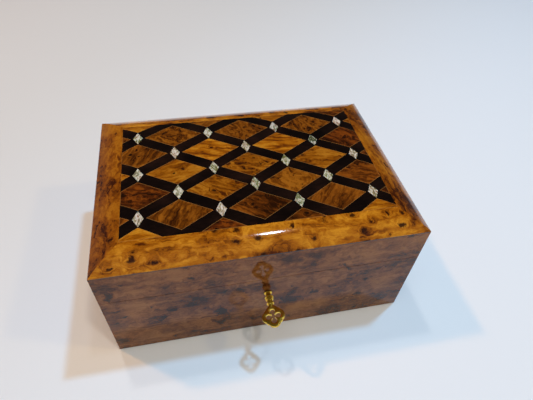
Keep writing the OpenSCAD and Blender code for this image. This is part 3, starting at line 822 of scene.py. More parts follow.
@dataclass(frozen=True)
class TableTop(Finish):
    """The pale surface that the casket stands on, with a painted tint of the lamps' light across it."""

    warm: str = "dbdad5"
    cool: str = "e6ebee"

    def dress(self, g: Graph, shader: bpy.types.ShaderNode) -> None:
        """Paints the lamps' tint on the surface: warmer at the back left, cooler towards the front right.

        Args:
            g: The material's graph.
            shader: Its Principled shader.
        """
        x = g.call("ShaderNodeSeparateXYZ", {0: g.place()}, 0)
        y = g.call("ShaderNodeSeparateXYZ", {0: g.place()}, 1)
        # Painted light: the lamps' warm and cool tints spread across the table.
        share = g.eased(g.math("SUBTRACT", x, y), -0.5, 0.2)
        g.feed(shader.inputs["Base Color"], g.mixed(share, tone(self.warm), tone(self.cool)))
        shader.inputs["Roughness"].default_value = 0.55
        shader.inputs["Specular IOR Level"].default_value = 0.2


DARK_EDGE_Z = 85.75  # the borders' edge is dark below this height
# The walls and lid rails take a darker copy of the same burl: painted shade for their upright faces.
SHADED_SIDE_BURL = {
    "dark": "3c1a0a", "middle": "78431e", "light": "9e6634", "eye": "2c1408",
    "film": 0.4, "eye_share": 0.3, "eye_pitch": 13.0, "stretch": 0.13, "swirl": 16.0,
}
# One honey burl in a lit and a shaded copy: the front and back borders carry painted light, the left and right
# borders painted shade.
HONEY_LONG_LIT = BurlVeneer("honey_burl_front_back", seed=3.0, eye_share=0.42, dark_edge_z=DARK_EDGE_Z)
HONEY_SIDE_SHADED = BurlVeneer(
    "honey_burl_sides", way=GrainWay.FRONT_TO_BACK, dark="3c1603", middle="864708", light="ab6a14",
    seed=7.0, eye_share=0.12, swirl=14.0, dark_edge_z=DARK_EDGE_Z,
)
SHADED_SIDE_LONG = BurlVeneer("burl_front_back", facing=Facing.FRONT, seed=11.0, **SHADED_SIDE_BURL)
SHADED_SIDE_SHORT = BurlVeneer("burl_ends", facing=Facing.END, seed=17.0, **SHADED_SIDE_BURL)
LOZENGES = LozengeVeneer("lozenge_veneer")
EBONY = EbonyBand("ebony_bands")
PEARL = PearlInlay("pearl_inlay", gloss=0.12)
THUYA = PlainWood("plain_thuya", dark="4f2a12", light="8a552b", way=GrainWay.FRONT_TO_BACK, rough=0.35)
PLY = PlainWood("birch_ply", dark="a9804f", light="d8b988", layer=1.4)
TONE_WOOD = PlainWood("spruce_board", dark="b98d55", light="e0c28c", way=GrainWay.FRONT_TO_BACK)
VELVET = PileCloth("wine_velvet")
FELT = PileCloth("green_felt", dark="0b2415", light="2b5236", tuft=1.6, brushed=0.25, sheen=0.4, depth=0.2)
CLEAR = ClearSheet("clear_sheet")
MIRROR = SilveredGlass("mirror_plate")
GOLD_BRASS = Metal("gold_brass", bright="ffd452", dull="cf9630", gloss=0.3, smudge=0.1)
HARDWARE_BRASS = Metal("hardware_brass", bright="eec266", dull="946526", gloss=0.16, smudge=0.16)
CLOCK_BRASS = Metal("clock_brass", bright="e0b566", dull="8f6a34", gloss=0.2, smudge=0.12, brush=1.6)
STEEL = Metal("bright_steel", bright="c9ccce", dull="7d8083", gloss=0.18, smudge=0.14, brush=1.8)
BLUED = Metal("tempered_comb", bright="a9b1b8", dull="5c6a7a", gloss=0.22, smudge=0.12, brush=2.0)
CAST = Metal("cast_zinc", bright="b4b6b6", dull="767a7c", gloss=0.4, smudge=0.15, depth=0.01, grit=0.03)
IVORY = Moulded("ivory_plastic")
TABLE = TableTop("table_top")


# ---------------------------------------------------------------------------------------------
# Meshes
# ---------------------------------------------------------------------------------------------


def as_piece(name: str, bm: bmesh.types.BMesh) -> bpy.types.Object:
    """Makes a shown object from a mesh in the making, which is freed.

    Args:
        name: The piece's name.
        bm: Its mesh, in metres.

    Returns:
        The object, at the origin.
    """
    mesh = bpy.data.meshes.new(name)
    bm.to_mesh(mesh)
    bm.free()
    piece = bpy.data.objects.new(name, mesh)
    bpy.context.scene.collection.objects.link(piece)
    return piece


def from_faces(name: str, points: Sequence[Point], faces: Sequence[Sequence[int]]) -> bpy.types.Object:
    """Makes an object from points in millimetres and faces.

    Args:
        name: The piece's name.
        points: Corners, in millimetres.
        faces: Rings of point numbers, seen from outside against the clock.

    Returns:
        The object, at the origin.
    """
    mesh = bpy.data.meshes.new(name)
    mesh.from_pydata([[v * MM for v in p] for p in points], [], [list(f) for f in faces])
    mesh.update()
    piece = bpy.data.objects.new(name, mesh)
    bpy.context.scene.collection.objects.link(piece)
    return piece


def node_mesh(node: str) -> bmesh.types.BMesh:
    """Gives a merged copy of a CAD node's mesh, in metres.

    Args:
        node: The node's name.

    Returns:
        A mesh in the making, for the caller to free.
    """
    bm = bmesh.new()
    bm.from_mesh(frame["nodes"][node].data)
    bmesh.ops.remove_doubles(bm, verts=bm.verts, dist=WELD * MM)
    return bm


def baked(piece: bpy.types.Object) -> bpy.types.Object:
    """Turns a piece's modifiers into its own mesh.

    Args:
        piece: The object, whose modifiers are removed.

    Returns:
        The same object.
    """
    graph = bpy.context.evaluated_depsgraph_get()
    mesh = bpy.data.meshes.new_from_object(piece.evaluated_get(graph))
    piece.modifiers.clear()
    piece.data = mesh
    mesh.name = piece.name
    return piece


def smoothed(piece: bpy.types.Object, angle: float = 35.0) -> bpy.types.Object:
    """Shades a piece smooth, but for its sharp edges.

    Args:
        piece: The object.
        angle: The least angle of a sharp edge, in degrees.

    Returns:
        The same object.
    """
    piece.data.shade_smooth()
    piece.data.set_sharp_from_angle(angle=math.radians(angle))
    return piece


def softened(name: str, node: str, width: float, merge: bool = True) -> bpy.types.Object:
    """Copies a CAD node and rounds its edges.

    Args:
        name: The new piece's name.
        node: The CAD node that it copies.
        width: How far the rounding reaches, in millimetres.
        merge: Whether flat faces are merged first; a face round a window can't be.

    Returns:
        The new piece.
    """
    bm = node_mesh(node)
    if merge:
        bmesh.ops.dissolve_limit(bm, angle_limit=math.radians(0.5), verts=bm.verts, edges=bm.edges)
    piece = smoothed(as_piece(name, bm), SHARP)
    bevel = piece.modifiers.new("round", "BEVEL")
    bevel.width = width * MM
    bevel.segments = 2
    bevel.limit_method = "ANGLE"
    bevel.angle_limit = math.radians(SHARP)
    bevel.harden_normals = True
    bevel.miter_outer = "MITER_ARC"
    return baked(piece)


def islands(node: str) -> list[tuple[Vector, Vector]]:
    """Finds the separate solids of a CAD node.

    Args:
        node: The node's name.

    Returns:
        The lowest and highest corner of each, in millimetres, in a steady order.
    """
    bm = node_mesh(node)
    left = set(bm.verts)
    boxes = []
    while left:
        seed = left.pop()
        group = [seed]
        stack = [seed]
        while stack:
            for edge in stack.pop().link_edges:
                for vert in edge.verts:
                    if vert in left:
                        left.remove(vert)
                        group.append(vert)
                        stack.append(vert)
        low = Vector(min(v.co[k] for v in group) for k in range(3)) / MM
        high = Vector(max(v.co[k] for v in group) for k in range(3)) / MM
        boxes.append((low, high))
    bm.free()
    return sorted(boxes, key=lambda box: tuple(round(v, 2) for v in box[0]))


def settle(
    piece: bpy.types.Object, node: str, slot: str, finish: Finish, replaces: bool = True
) -> bpy.types.Object:
    """Dresses a finished piece and fastens it to its node's body.

    Args:
        piece: The finished object.
        node: The CAD node that it belongs to.
        slot: The record's material slot; not used.
        finish: Its finish.
        replaces: Whether it stands for the node.

    Returns:
        The same object.
    """
    piece.data.materials.clear()
    piece.data.materials.append(finish.material())
    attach(piece, BODY_OF[node])
    if replaces:
        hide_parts(node)
    faces = len(piece.data.polygons)
    log.info("%s: %d faces, on %s, finish %s", piece.name, faces, BODY_OF[node], finish.name)
    return piece


def node_box(node: str) -> tuple[Vector, Vector]:
    """Gives a CAD node's lowest and highest corner in millimetres."""
    low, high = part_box(node)
    return low / MM, high / MM


def lathe(profile: Sequence[tuple[float, float]], sides: int) -> tuple[list[Point], list[list[int]]]:
    """Turns a profile about Z.

    Args:
        profile: Heights and radii from one end to the other, both ends on or off the axis.
        sides: Facets round the axis.

    Returns:
        Points and faces of the closed turned solid, faces outwards for a rising profile.
    """
    points: list[Point] = []
    for height, radius in profile:
        for k in range(sides):
            a = 2 * math.pi * k / sides
            points.append((radius * math.cos(a), radius * math.sin(a), height))
    faces = []
    for row in range(len(profile) - 1):
        for k in range(sides):
            a, b = row * sides + k, row * sides + (k + 1) % sides
            faces.append([a, b, b + sides, a + sides])
    faces.append(list(range(sides))[::-1])
    faces.append([(len(profile) - 1) * sides + k for k in range(sides)])
    return points, faces


def block(low: Point, high: Point) -> tuple[list[Point], list[list[int]]]:
    """Makes a plain box.

    Args:
        low: Its lowest corner.
        high: Its highest corner.

    Returns:
        Its points, and its faces seen from outside against the clock.
    """
    ring = ((low[0], low[1]), (high[0], low[1]), (high[0], high[1]), (low[0], high[1]))
    points = [(x, y, z) for z in (low[2], high[2]) for x, y in ring]
    faces = [[3, 2, 1, 0], [4, 5, 6, 7]] + [[k, (k + 1) % 4, 4 + (k + 1) % 4, 4 + k] for k in range(4)]
    return points, faces


class StudTree:
    """A Geometry Nodes tree that sets one stud on each point, turned to the point's own aim."""

    def __init__(self) -> None:
        """Builds the tree."""
        tree = bpy.data.node_groups.new("set_studs", "GeometryNodeTree")
        face = tree.interface
        face.new_socket("Geometry", in_out="INPUT", socket_type="NodeSocketGeometry")
        face.new_socket("Stud", in_out="INPUT", socket_type="NodeSocketObject")
        face.new_socket("Size", in_out="INPUT", socket_type="NodeSocketFloat").default_value = 1.0
        face.new_socket("Turn", in_out="INPUT", socket_type="NodeSocketFloat").default_value = 0.0
        face.new_socket("Seed", in_out="INPUT", socket_type="NodeSocketInt").default_value = 1
        face.new_socket("Finish", in_out="INPUT", socket_type="NodeSocketMaterial")
        face.new_socket("Geometry", in_out="OUTPUT", socket_type="NodeSocketGeometry")
        g = Graph(tree)
        given = g.add("NodeGroupInput").outputs
        stud = g.call("GeometryNodeObjectInfo", {"Object": given["Stud"]}, "Geometry")
        aim = g.add("GeometryNodeInputNamedAttribute", data_type="FLOAT_VECTOR")
        aim.inputs["Name"].default_value = "aim"
        lean = g.call("FunctionNodeAlignRotationToVector", {"Vector": aim.outputs[0]}, axis="Z")
        dice = g.add("FunctionNodeRandomValue", data_type="FLOAT")
        g.feed(dice.inputs[3], given["Turn"])
        g.feed(dice.inputs["Seed"], given["Seed"])
        spin = g.call("FunctionNodeAxisAngleToRotation", {"Axis": (0.0, 0.0, 1.0), "Angle": dice.outputs[1]})
        turned = g.call(
            "FunctionNodeRotateRotation", {"Rotation": lean, "Rotate By": spin}, rotation_space="LOCAL"
        )
        copies = g.call(
            "GeometryNodeInstanceOnPoints",
            {"Points": given["Geometry"], "Instance": stud, "Rotation": turned, "Scale": given["Size"]},
        )
        tints = g.add("FunctionNodeRandomValue", data_type="FLOAT")
        g.feed(tints.inputs["Seed"], g.call("ShaderNodeMath", {0: given["Seed"], 1: 5.0}, operation="ADD"))
        stored = g.call(
            "GeometryNodeStoreNamedAttribute",
            {"Geometry": copies, "Name": "tint", "Value": tints.outputs[1]},
            data_type="FLOAT", domain="INSTANCE",
        )
        real = g.call("GeometryNodeRealizeInstances", {0: stored})
        dressed = g.call("GeometryNodeSetMaterial", {"Geometry": real, "Material": given["Finish"]})
        g.feed(g.add("NodeGroupOutput").inputs[0], dressed)
        self.tree = tree

    def lay(
        self, name: str, stud: bpy.types.Object, places: Sequence[tuple[Vector, Vector]], finish: Finish,
        turn: float = 0.0, seed: int = 1,
    ) -> bpy.types.Object:
        """Sets a stud at each place.

        Args:
            name: The new piece's name.
            stud: The one that is repeated, which is removed afterwards.
            places: Where each stands in millimetres, and where its Z axis points.
            finish: The material that the tree sets.
            turn: Largest random turn about its own axis, in radians.
            seed: Seed of the random turns and tints.

        Returns:
            One plain mesh object with all the studs.
        """
        mesh = bpy.data.meshes.new(name)
        mesh.from_pydata([place * MM for place, _ in places], [], [])
        aims = mesh.attributes.new("aim", "FLOAT_VECTOR", "POINT")
        for value, (_, aim) in zip(aims.data, places):
            value.vector = aim
        piece = bpy.data.objects.new(name, mesh)
        bpy.context.scene.collection.objects.link(piece)
        modifier = piece.modifiers.new("studs", "NODES")
        modifier.node_group = self.tree
        values = {"Stud": stud, "Turn": turn, "Seed": seed, "Finish": finish.material()}
        for item in self.tree.interface.items_tree:
            if item.item_type == "SOCKET" and item.in_out == "INPUT" and item.name in values:
                modifier[item.identifier] = values[item.name]
        baked(piece)
        bpy.data.objects.remove(stud)
        return piece


# ---------------------------------------------------------------------------------------------
# The crowned top
# ---------------------------------------------------------------------------------------------


@dataclass
class Crown:
    """The shape of the top: a crown that rises from the edge and levels out, in millimetres."""

    reach: float = 26.0
    power: float = 2.4
    cuts: tuple[float, ...] = (1.0, 2.0, 3.0, 4.5, 6.0, 9.0)
    half: tuple[float, float] = field(init=False)
    panel: tuple[float, float] = field(init=False)
    border: float = field(init=False)
    side_h: float = field(init=False)
    rise: float = field(init=False)

    def __post_init__(self) -> None:
        """Reads the top's sizes from the frame."""
        low, high = node_box("front_border")
        _, panel_high = node_box("ebony_lattice")
        self.half = (high.x, -low.y)
        self.panel = (panel_high.x, panel_high.y)
        self.border = high.x - panel_high.x
        self.side_h = low.z + 1.0
        share = 1 - (1 - self.border / self.reach) ** self.power
        self.rise = (panel_high.z - self.side_h) / share

    def level(self, inward: float) -> float:
        """Gives the height at a distance in from the edge."""
        t = min(inward, self.reach)
        return self.side_h + self.rise * (1 - (1 - t / self.reach) ** self.power)

    def swell(self, x: float, y: float) -> float:
        """Gives how far the panel rises above its own edge.

        Args:
            x: Place from left to right, from the middle.
            y: Place from front to back.

        Returns:
            The rise in millimetres.
        """
        inner = self.reach - self.border
        top = self.level(self.reach) - self.level(self.border)
        shares = []
        for value, limit in ((x, self.panel[0]), (y, self.panel[1])):
            inward = min(max(limit - abs(value), 0.0), inner)
            shares.append(1 - (1 - inward / inner) ** self.power)
        return top * shares[0] * shares[1]

    def normal(self, x: float, y: float) -> Vector:
        """Gives the panel's outward direction.

        Args:
            x: Place from left to right, from the middle.
            y: Place from front to back.

        Returns:
            A direction of length 1.
        """
        step = 0.01
        dx = (self.swell(x + step, y) - self.swell(x - step, y)) / (2 * step)
        dy = (self.swell(x, y + step) - self.swell(x, y - step)) / (2 * step)
        return Vector((-dx, -dy, 1.0)).normalized()

    def lift(self, bm: bmesh.types.BMesh) -> None:
        """Cuts a flat panel piece along lines near the panel's edge, and lifts its top to the crown.

        Args:
            bm: The piece, in metres, with its top at the panel's edge height.
        """
        bmesh.ops.triangulate(bm, faces=bm.faces)
        for axis in (0, 1):
            for side in (-1, 1):
                for inward in self.cuts:
                    place = [0.0, 0.0, 0.0]
                    place[axis] = side * (self.panel[axis] - inward) * MM
                    direction = [0.0, 0.0, 0.0]
                    direction[axis] = 1.0
                    everything = bm.verts[:] + bm.edges[:] + bm.faces[:]
                    bmesh.ops.bisect_plane(bm, geom=everything, plane_co=place, plane_no=direction)
        bmesh.ops.triangulate(bm, faces=bm.faces)
        top = self.level(self.border) - 0.1
        for vert in bm.verts:
            if vert.co.z / MM > top:
                vert.co.z += self.swell(vert.co.x / MM, vert.co.y / MM) * MM

    def shade(self, piece: bpy.types.Object) -> None:
        """Gives a panel piece the crown's own normals on its top, so that the gloss runs on.

        Args:
            piece: The piece, already lifted to the crown.
        """
        mesh = piece.data
        mesh.shade_smooth()
        normals = []
        for face in mesh.polygons:
            for loop in face.loop_indices:
                co = mesh.vertices[mesh.loops[loop].vertex_index].co / MM
                flat = face.normal.z > 0.7
                normals.append(self.normal(co.x, co.y) if flat else face.normal.copy())
        mesh.normals_split_custom_set(normals)


@dataclass
class CrownBorders:
    """The four mitred border strips of the crowned top."""

    crown: Crown
    columns: int = 48
    arris: float = 0.12

    def profile(self) -> list[tuple[float, float]]:
        """Gives the closed section, as distances in from the edge and heights.

        Returns:
            Points from the outer foot over the crown to the inner foot.
        """
        width = self.crown.border
        foot = self.crown.side_h - 1.0
        level = self.crown.level
        edge = [(0.0, foot), (0.0, foot + 0.7), (0.05, self.crown.side_h - 0.04), (0.25, level(0.25))]
        rows = [(float(t), level(t)) for t in range(1, int(width))]
        inner = [(width - 0.1, level(width - 0.1)), (width, level(width) - 0.05), (width, foot)]
        return edge + rows + inner

    def strip(
        self, name: str, length: float, place: Callable[[float, float], tuple[float, float]]
    ) -> bpy.types.Object:
        """Makes one strip.

        Args:
            name: The piece's name.
            length: Its outer length.
            place: Turns a place along and in from the edge into X and Y.

        Returns:
            The strip.
        """
        section = self.profile()
        end = 1 - 2 * self.arris / length
        between = [end * (2 * k / self.columns - 1) for k in range(1, self.columns)]
        shares = [-1.0, -end] + between + [end, 1.0]
        points: list[Point] = []
        for share in shares:
            drop = 0.06 if abs(share) == 1.0 else 0.0
            for inward, z in section:
                x, y = place(share * (length / 2 - inward), inward)
                points.append((x, y, z - drop if z > self.crown.side_h else z))
        n = len(section)
        faces = []
        for c in range(len(shares) - 1):
            for k in range(n):
                a, b = c * n + k, c * n + (k + 1) % n
                faces.append([a, a + n, b + n, b])
        faces.append(list(range(n)))
        faces.append([(len(shares) - 1) * n + k for k in range(n)][::-1])
        return smoothed(from_faces(name, points, faces), 30.0)

    def build(self) -> None:
        """Makes and dresses the four strips."""
        w, d = self.crown.half
        front = self.strip("front_border_veneer", 2 * w, lambda a, t: (a, t - d))
        settle(front, "front_border", "honey_burl", HONEY_LONG_LIT)
        back = self.strip("back_border_veneer", 2 * w, lambda a, t: (-a, d - t))
        settle(back, "back_border", "honey_burl", HONEY_LONG_LIT)
        left = self.strip("left_border_veneer", 2 * d, lambda a, t: (t - w, -a))
        settle(left, "left_border", "honey_burl", HONEY_SIDE_SHADED)
        right = self.strip("right_border_veneer", 2 * d, lambda a, t: (w - t, a))
        settle(right, "right_border", "honey_burl", HONEY_SIDE_SHADED)


class Cut(Enum):
    """A kind of veneer cut for a lozenge: tone, swirl, share of eyes and turn of the grain."""

    HONEY = (0.95, 4.0, 0.05, 0.1)
    AMBER = (0.72, 6.0, 0.12, 0.0)
    FIGURED = (0.3, 20.0, 0.5, 0.9)
    KNOTTY = (0.66, 10.0, 1.0, 0.3)
    STREAKED = (0.2, 7.0, 0.1, -0.9)
    CHESTNUT = (0.06, 8.0, 0.15, 0.4)


@dataclass
class Marquetry:
    """The panel's lozenges, pearl rhombs and ebony lattice."""

    crown: Crown
    studs: StudTree
    pitch: tuple[float, float] = (24.2, 18.6)
    lozenge: tuple[float, float] = (19.45, 12.0)
    rim: float = 0.4
    seed: int = 5
    rows: dict[int, str] = field(default_factory=lambda: {
        3: "ASAC", 2: "SFFFA", 1: "SHHC", 0: "HAKAC", -1: "CKFC", -2: "SSCSC", -3: "HCCH",
    })

    def lozenge_at(self, i: int, j: int) -> list[tuple[float, float]]:
        """Gives a lozenge's outline, cut off at the panel's edge.

        Args:
            i: Column in half pitches.
            j: Row.

        Returns:
            Its corners, against the clock.
        """
        x, y = i * self.pitch[0], j * self.pitch[1]
        long, wide = self.lozenge
        outline = [(x + long, y), (x, y + wide), (x - long, y), (x, y - wide)]
        for axis in (0, 1):
            for side in (-1, 1):
                outline = self.clipped(outline, axis, side, self.crown.panel[axis])
        return outline

    @staticmethod
    def clipped(
        outline: list[tuple[float, float]], axis: int, side: int, limit: float
    ) -> list[tuple[float, float]]:
        """Cuts a convex outline at one edge of the panel.

        Args:
            outline: Its corners, against the clock.
            axis: 0 for an edge at the left or right, 1 for the front or back.
            side: -1 for the lower edge, 1 for the higher.
            limit: Distance of the edge from the middle.

        Returns:
            The corners that are left.
        """
        kept = []
        for k, here in enumerate(outline):
            before = outline[k - 1]
            a, b = limit - side * before[axis], limit - side * here[axis]
            if (a < 0) != (b < 0):
                share = a / (a - b)
                kept.append(tuple(u + share * (v - u) for u, v in zip(before, here)))
            if b >= 0:
                kept.append(here)
        return kept

    def inset(self, outline: list[tuple[float, float]]) -> list[tuple[float, float]]:
        """Moves each side of a convex outline inwards by the rim's width.

        Args:
            outline: Its corners, against the clock.

        Returns:
            The moved corners.
        """
        corners = [Vector(p) for p in outline]
        moved = []
        for k, corner in enumerate(corners):
            before = (corner - corners[k - 1]).normalized()
            after = (corners[(k + 1) % len(corners)] - corner).normalized()
            inward = (after - before).normalized()
            lean = max(abs(before.x * inward.y - before.y * inward.x), 0.2)
            moved.append(tuple(corner + inward * (self.rim / lean)))
        return moved

    def build_lozenges(self) -> None:
        """Makes the lozenges, with the attributes that their veneer reads."""
        bm = bmesh.new()
        names = ("cut_tone", "cut_swirl", "cut_eyes", "cut_turn", "cut_seed", "cut_rim")
        layers = {name: bm.verts.layers.float.new(name) for name in names}
        dice = random.Random(self.seed)
        top = self.crown.level(self.crown.border)
        low = node_box("burl_lozenges")[0].z
        kinds = {kind.name[0]: kind for kind in Cut}
        for j, letters in self.rows.items():
            columns = [i for i in range(-4, 5) if (i + j) % 2 == 0]
            for i, letter in zip(columns, letters):
                shade, swirl, eyes, turn = kinds[letter].value
                outline = self.lozenge_at(i, j)
                values = {
                    "cut_tone": shade + dice.uniform(-0.07, 0.07), "cut_swirl": swirl, "cut_eyes": eyes,
                    "cut_turn": turn + dice.uniform(-0.3, 0.3), "cut_seed": dice.uniform(1.0, 30.0),
                }
                rings = [(outline, low, 1.0), (outline, top, 1.0), (self.inset(outline), top, 0.0)]
                made = []
                for ring, z, rim in rings:
                    verts = [bm.verts.new((x * MM, y * MM, z * MM)) for x, y in ring]
                    for vert in verts:
                        for key, value in values.items():
                            vert[layers[key]] = value
                        vert[layers["cut_rim"]] = rim
                    made.append(verts)
                n = len(outline)
                for lower, upper in zip(made, made[1:]):
                    for k in range(n):
                        bm.faces.new([lower[k], lower[(k + 1) % n], upper[(k + 1) % n], upper[k]])
                bm.faces.new(made[-1])
                bm.faces.new(made[0][::-1])
        self.crown.lift(bm)
        piece = as_piece("lozenge_veneers", bm)
        self.crown.shade(piece)
        settle(piece, "burl_lozenges", "burl_lozenges", LOZENGES)

    def build_lattice(self) -> None:
        """Lifts the ebony lattice to the crown."""
        bm = node_mesh("ebony_lattice")
        self.crown.lift(bm)
        piece = as_piece("ebony_bands", bm)
        self.crown.shade(piece)
        settle(piece, "ebony_lattice", "ebony", EBONY)

    def build_pearls(self) -> None:
        """Sets a pearl rhomb at each crossing of the bands."""
        boxes = islands("pearl_inlays")
        low, high = boxes[0]
        long, wide, thick = (high.x - low.x) / 2, (high.y - low.y) / 2, high.z - low.z
        drop = 0.05
        rings = [(1.0, -thick), (1.0, -drop), (0.94, 0.0)]
        corners = ((long, 0), (0, wide), (-long, 0), (0, -wide))
        points = [(s * x, s * y, z) for s, z in rings for x, y in corners]
        points.append((0.0, 0.0, 0.03))
        faces = [[3, 2, 1, 0]]
        for ring in (0, 4):
            faces += [[ring + k, ring + (k + 1) % 4, ring + 4 + (k + 1) % 4, ring + 4 + k] for k in range(4)]
        faces += [[8 + k, 8 + (k + 1) % 4, 12] for k in range(4)]
        stud = from_faces("pearl_rhomb", points, faces)
        places = []
        for low, high in boxes:
            x, y = (low.x + high.x) / 2, (low.y + high.y) / 2
            z = self.crown.level(self.crown.border) + self.crown.swell(x, y)
            places.append((Vector((x, y, z)), self.crown.normal(x, y)))
        piece = self.studs.lay("pearl_rhombs", stud, places, PEARL, seed=9)
        settle(piece, "pearl_inlays", "pearl", PEARL)

    def build(self) -> None:
        """Makes the whole panel."""
        self.build_lozenges()
        self.build_lattice()
        self.build_pearls()


# ---------------------------------------------------------------------------------------------
# Casket and fittings
# ---------------------------------------------------------------------------------------------


@dataclass(frozen=True)
class Part:
    """A CAD node that is shown with rounded edges: its slot, finish and rounding in millimetres."""

    node: str
    slot: str
    finish: Finish
    width: float = 0.1
    merge: bool = True

    def build(self) -> bpy.types.Object:
        """Makes and dresses the piece.

        Returns:
            The shown object.
        """
        piece = softened(f"{self.node}_piece", self.node, self.width, self.merge)
        return settle(piece, self.node, self.slot, self.finish)


@dataclass
class PartSet:
    """Parts that are built one after another."""

    parts: tuple[Part, ...] = ()

    def build(self) -> None:
        """Makes every part."""
        for part in self.parts:
            part.build()


@dataclass
class CasketCase(PartSet):
    """The case: four veneered walls, its floors, divider, ledges, lining and the clear cover."""

    parts: tuple[Part, ...] = (
        Part("front_wall", "burl_sides", SHADED_SIDE_LONG, 0.06),
        Part("back_wall", "burl_sides", SHADED_SIDE_LONG, 0.06),
        Part("left_wall", "burl_sides", SHADED_SIDE_SHORT, 0.06),
        Part("right_wall", "burl_sides", SHADED_SIDE_SHORT, 0.06),
        Part("base_felt", "green_felt", FELT, 0.25),
        Part("base_board", "plywood", PLY, 0.3),
        Part("key_well", "plywood", PLY, 0.4),
        Part("sound_board", "plywood", TONE_WOOD, 0.2),
        Part("divider", "plain_thuya", THUYA, 0.6),
        Part("cover_ledges", "plain_thuya", THUYA, 0.4),
        Part("compartment_lining", "velvet", VELVET, 0.5),
        Part("movement_cover", "clear_cover", CLEAR, 0.3),
    )


@dataclass
class LidFrame(PartSet):
    """The lid under its crown: rails, crown board, lining and mirror."""

    parts: tuple[Part, ...] = (
        Part("lid_front_rail", "burl_sides", SHADED_SIDE_LONG, 0.06),
        Part("lid_back_rail", "burl_sides", SHADED_SIDE_LONG, 0.06),
        Part("lid_left_rail", "burl_sides", SHADED_SIDE_SHORT, 0.06),
        Part("lid_right_rail", "burl_sides", SHADED_SIDE_SHORT, 0.06),
        Part("crown_board", "plywood", PLY, 0.2),
        Part("lid_lining", "velvet", VELVET, 0.5),
        Part("lid_mirror", "lid_mirror", MIRROR, 0.7),
    )


@dataclass
class SlottedScrews:
    """All the screws of one node, each with a slot turned its own way."""

    node: str
    slot: str
    finish: Finish
    studs: StudTree
    up: float = 1.0
    head_h: float = 0.7
    shank_r: float = 0.8
    seed: int = 1
    sides: int = 24

    def screw(self, head_r: float, length: float) -> bpy.types.Object:
        """Makes one screw with its head's top at the origin.

        Args:
            head_r: Radius of its head.
            length: Length from the head's top to the tip.

        Returns:
            The screw as an object.
        """
        tip = min(1.6, length * 0.25)
        bevel = min(0.25, self.head_h * 0.4)
        profile = [(-length, 0.15), (-length + tip, self.shank_r), (-self.head_h, self.shank_r)]
        profile += [(-self.head_h, head_r), (-bevel, head_r)]
        profile += [(-bevel * 0.3, head_r - bevel * 0.55), (0.0, head_r - bevel)]
        points, faces = lathe(profile, self.sides)
        body = from_faces("screw", points, faces)
        wide, deep, run = head_r * 0.24, min(0.45, self.head_h * 0.55), head_r * 1.2
        cutter = from_faces("slot_cutter", *block((-run, -wide / 2, -deep), (run, wide / 2, 1.0)))
        slot = body.modifiers.new("slot", "BOOLEAN")
        slot.operation = "DIFFERENCE"
        slot.solver = "EXACT"
        slot.object = cutter
        baked(body)
        bpy.data.objects.remove(cutter)
        return smoothed(body, 30.0)

    def build(self) -> None:
        """Makes the screws in their places."""
        boxes = islands(self.node)
        low, high = boxes[0]
        stud = self.screw((high.x - low.x) / 2, high.z - low.z)
        aim = Vector((0.0, 0.0, self.up))
        places = []
        for low, high in boxes:
            middle = (low + high) / 2
            middle.z = high.z if self.up > 0 else low.z
            places.append((middle, aim))
        name = f"{self.node}_slotted"
        piece = self.studs.lay(name, stud, places, self.finish, turn=math.pi, seed=self.seed)
        settle(piece, self.node, self.slot, self.finish)


@dataclass
class Hinges:
    """Two butt hinges: leaves with knuckles, their pins and screws."""

    studs: StudTree

    def pins(self) -> None:
        """Makes the hinge pins, with a domed end."""
        boxes = islands("hinge_pins")
        low, high = boxes[0]
        r, run = (high.z - low.z) / 2, high.x - low.x
        dome = 0.4
        profile = [(-run / 2, r * 0.3), (-run / 2 + dome * 0.25, r * 0.7), (-run / 2 + dome, r)]
        profile += [(-z, rad) for z, rad in profile[::-1]]
        points, faces = lathe(profile, 24)
        stud = smoothed(from_faces("hinge_pin", points, faces), 40.0)
        places = [((low + high) / 2, Vector((1.0, 0.0, 0.0))) for low, high in boxes]
        piece = self.studs.lay("hinge_pins_turned", stud, places, HARDWARE_BRASS, seed=2)
        settle(piece, "hinge_pins", "polished_brass", HARDWARE_BRASS)

    def build(self) -> None:
        """Makes leaves, pins and screws."""
        Part("case_hinge_leaves", "polished_brass", HARDWARE_BRASS, 0.15).build()
        Part("lid_hinge_leaves", "polished_brass", HARDWARE_BRASS, 0.15).build()
        self.pins()
        screws = {"slot": "polished_brass", "finish": HARDWARE_BRASS, "studs": self.studs}
        SlottedScrews("case_hinge_screws", seed=3, **screws).build()
        SlottedScrews("lid_hinge_screws", up=-1.0, seed=4, **screws).build()


@dataclass
class LockSet:
    """The full mortise lock, its bolt and screws, and the strike under the lid."""

    studs: StudTree

    def build(self) -> None:
        """Makes the lock's pieces."""
        Part("lock_case", "polished_brass", HARDWARE_BRASS, 0.12).build()
        Part("lock_strike", "polished_brass", HARDWARE_BRASS, 0.05, merge=False).build()
        Part("lock_bolt", "lock_steel", STEEL, 0.1).build()
        screws = {"slot": "polished_brass", "finish": HARDWARE_BRASS, "studs": self.studs, "head_h": 0.6}
        SlottedScrews("lock_screws", seed=6, **screws).build()
        SlottedScrews("strike_screws", up=-1.0, seed=7, **screws).build()


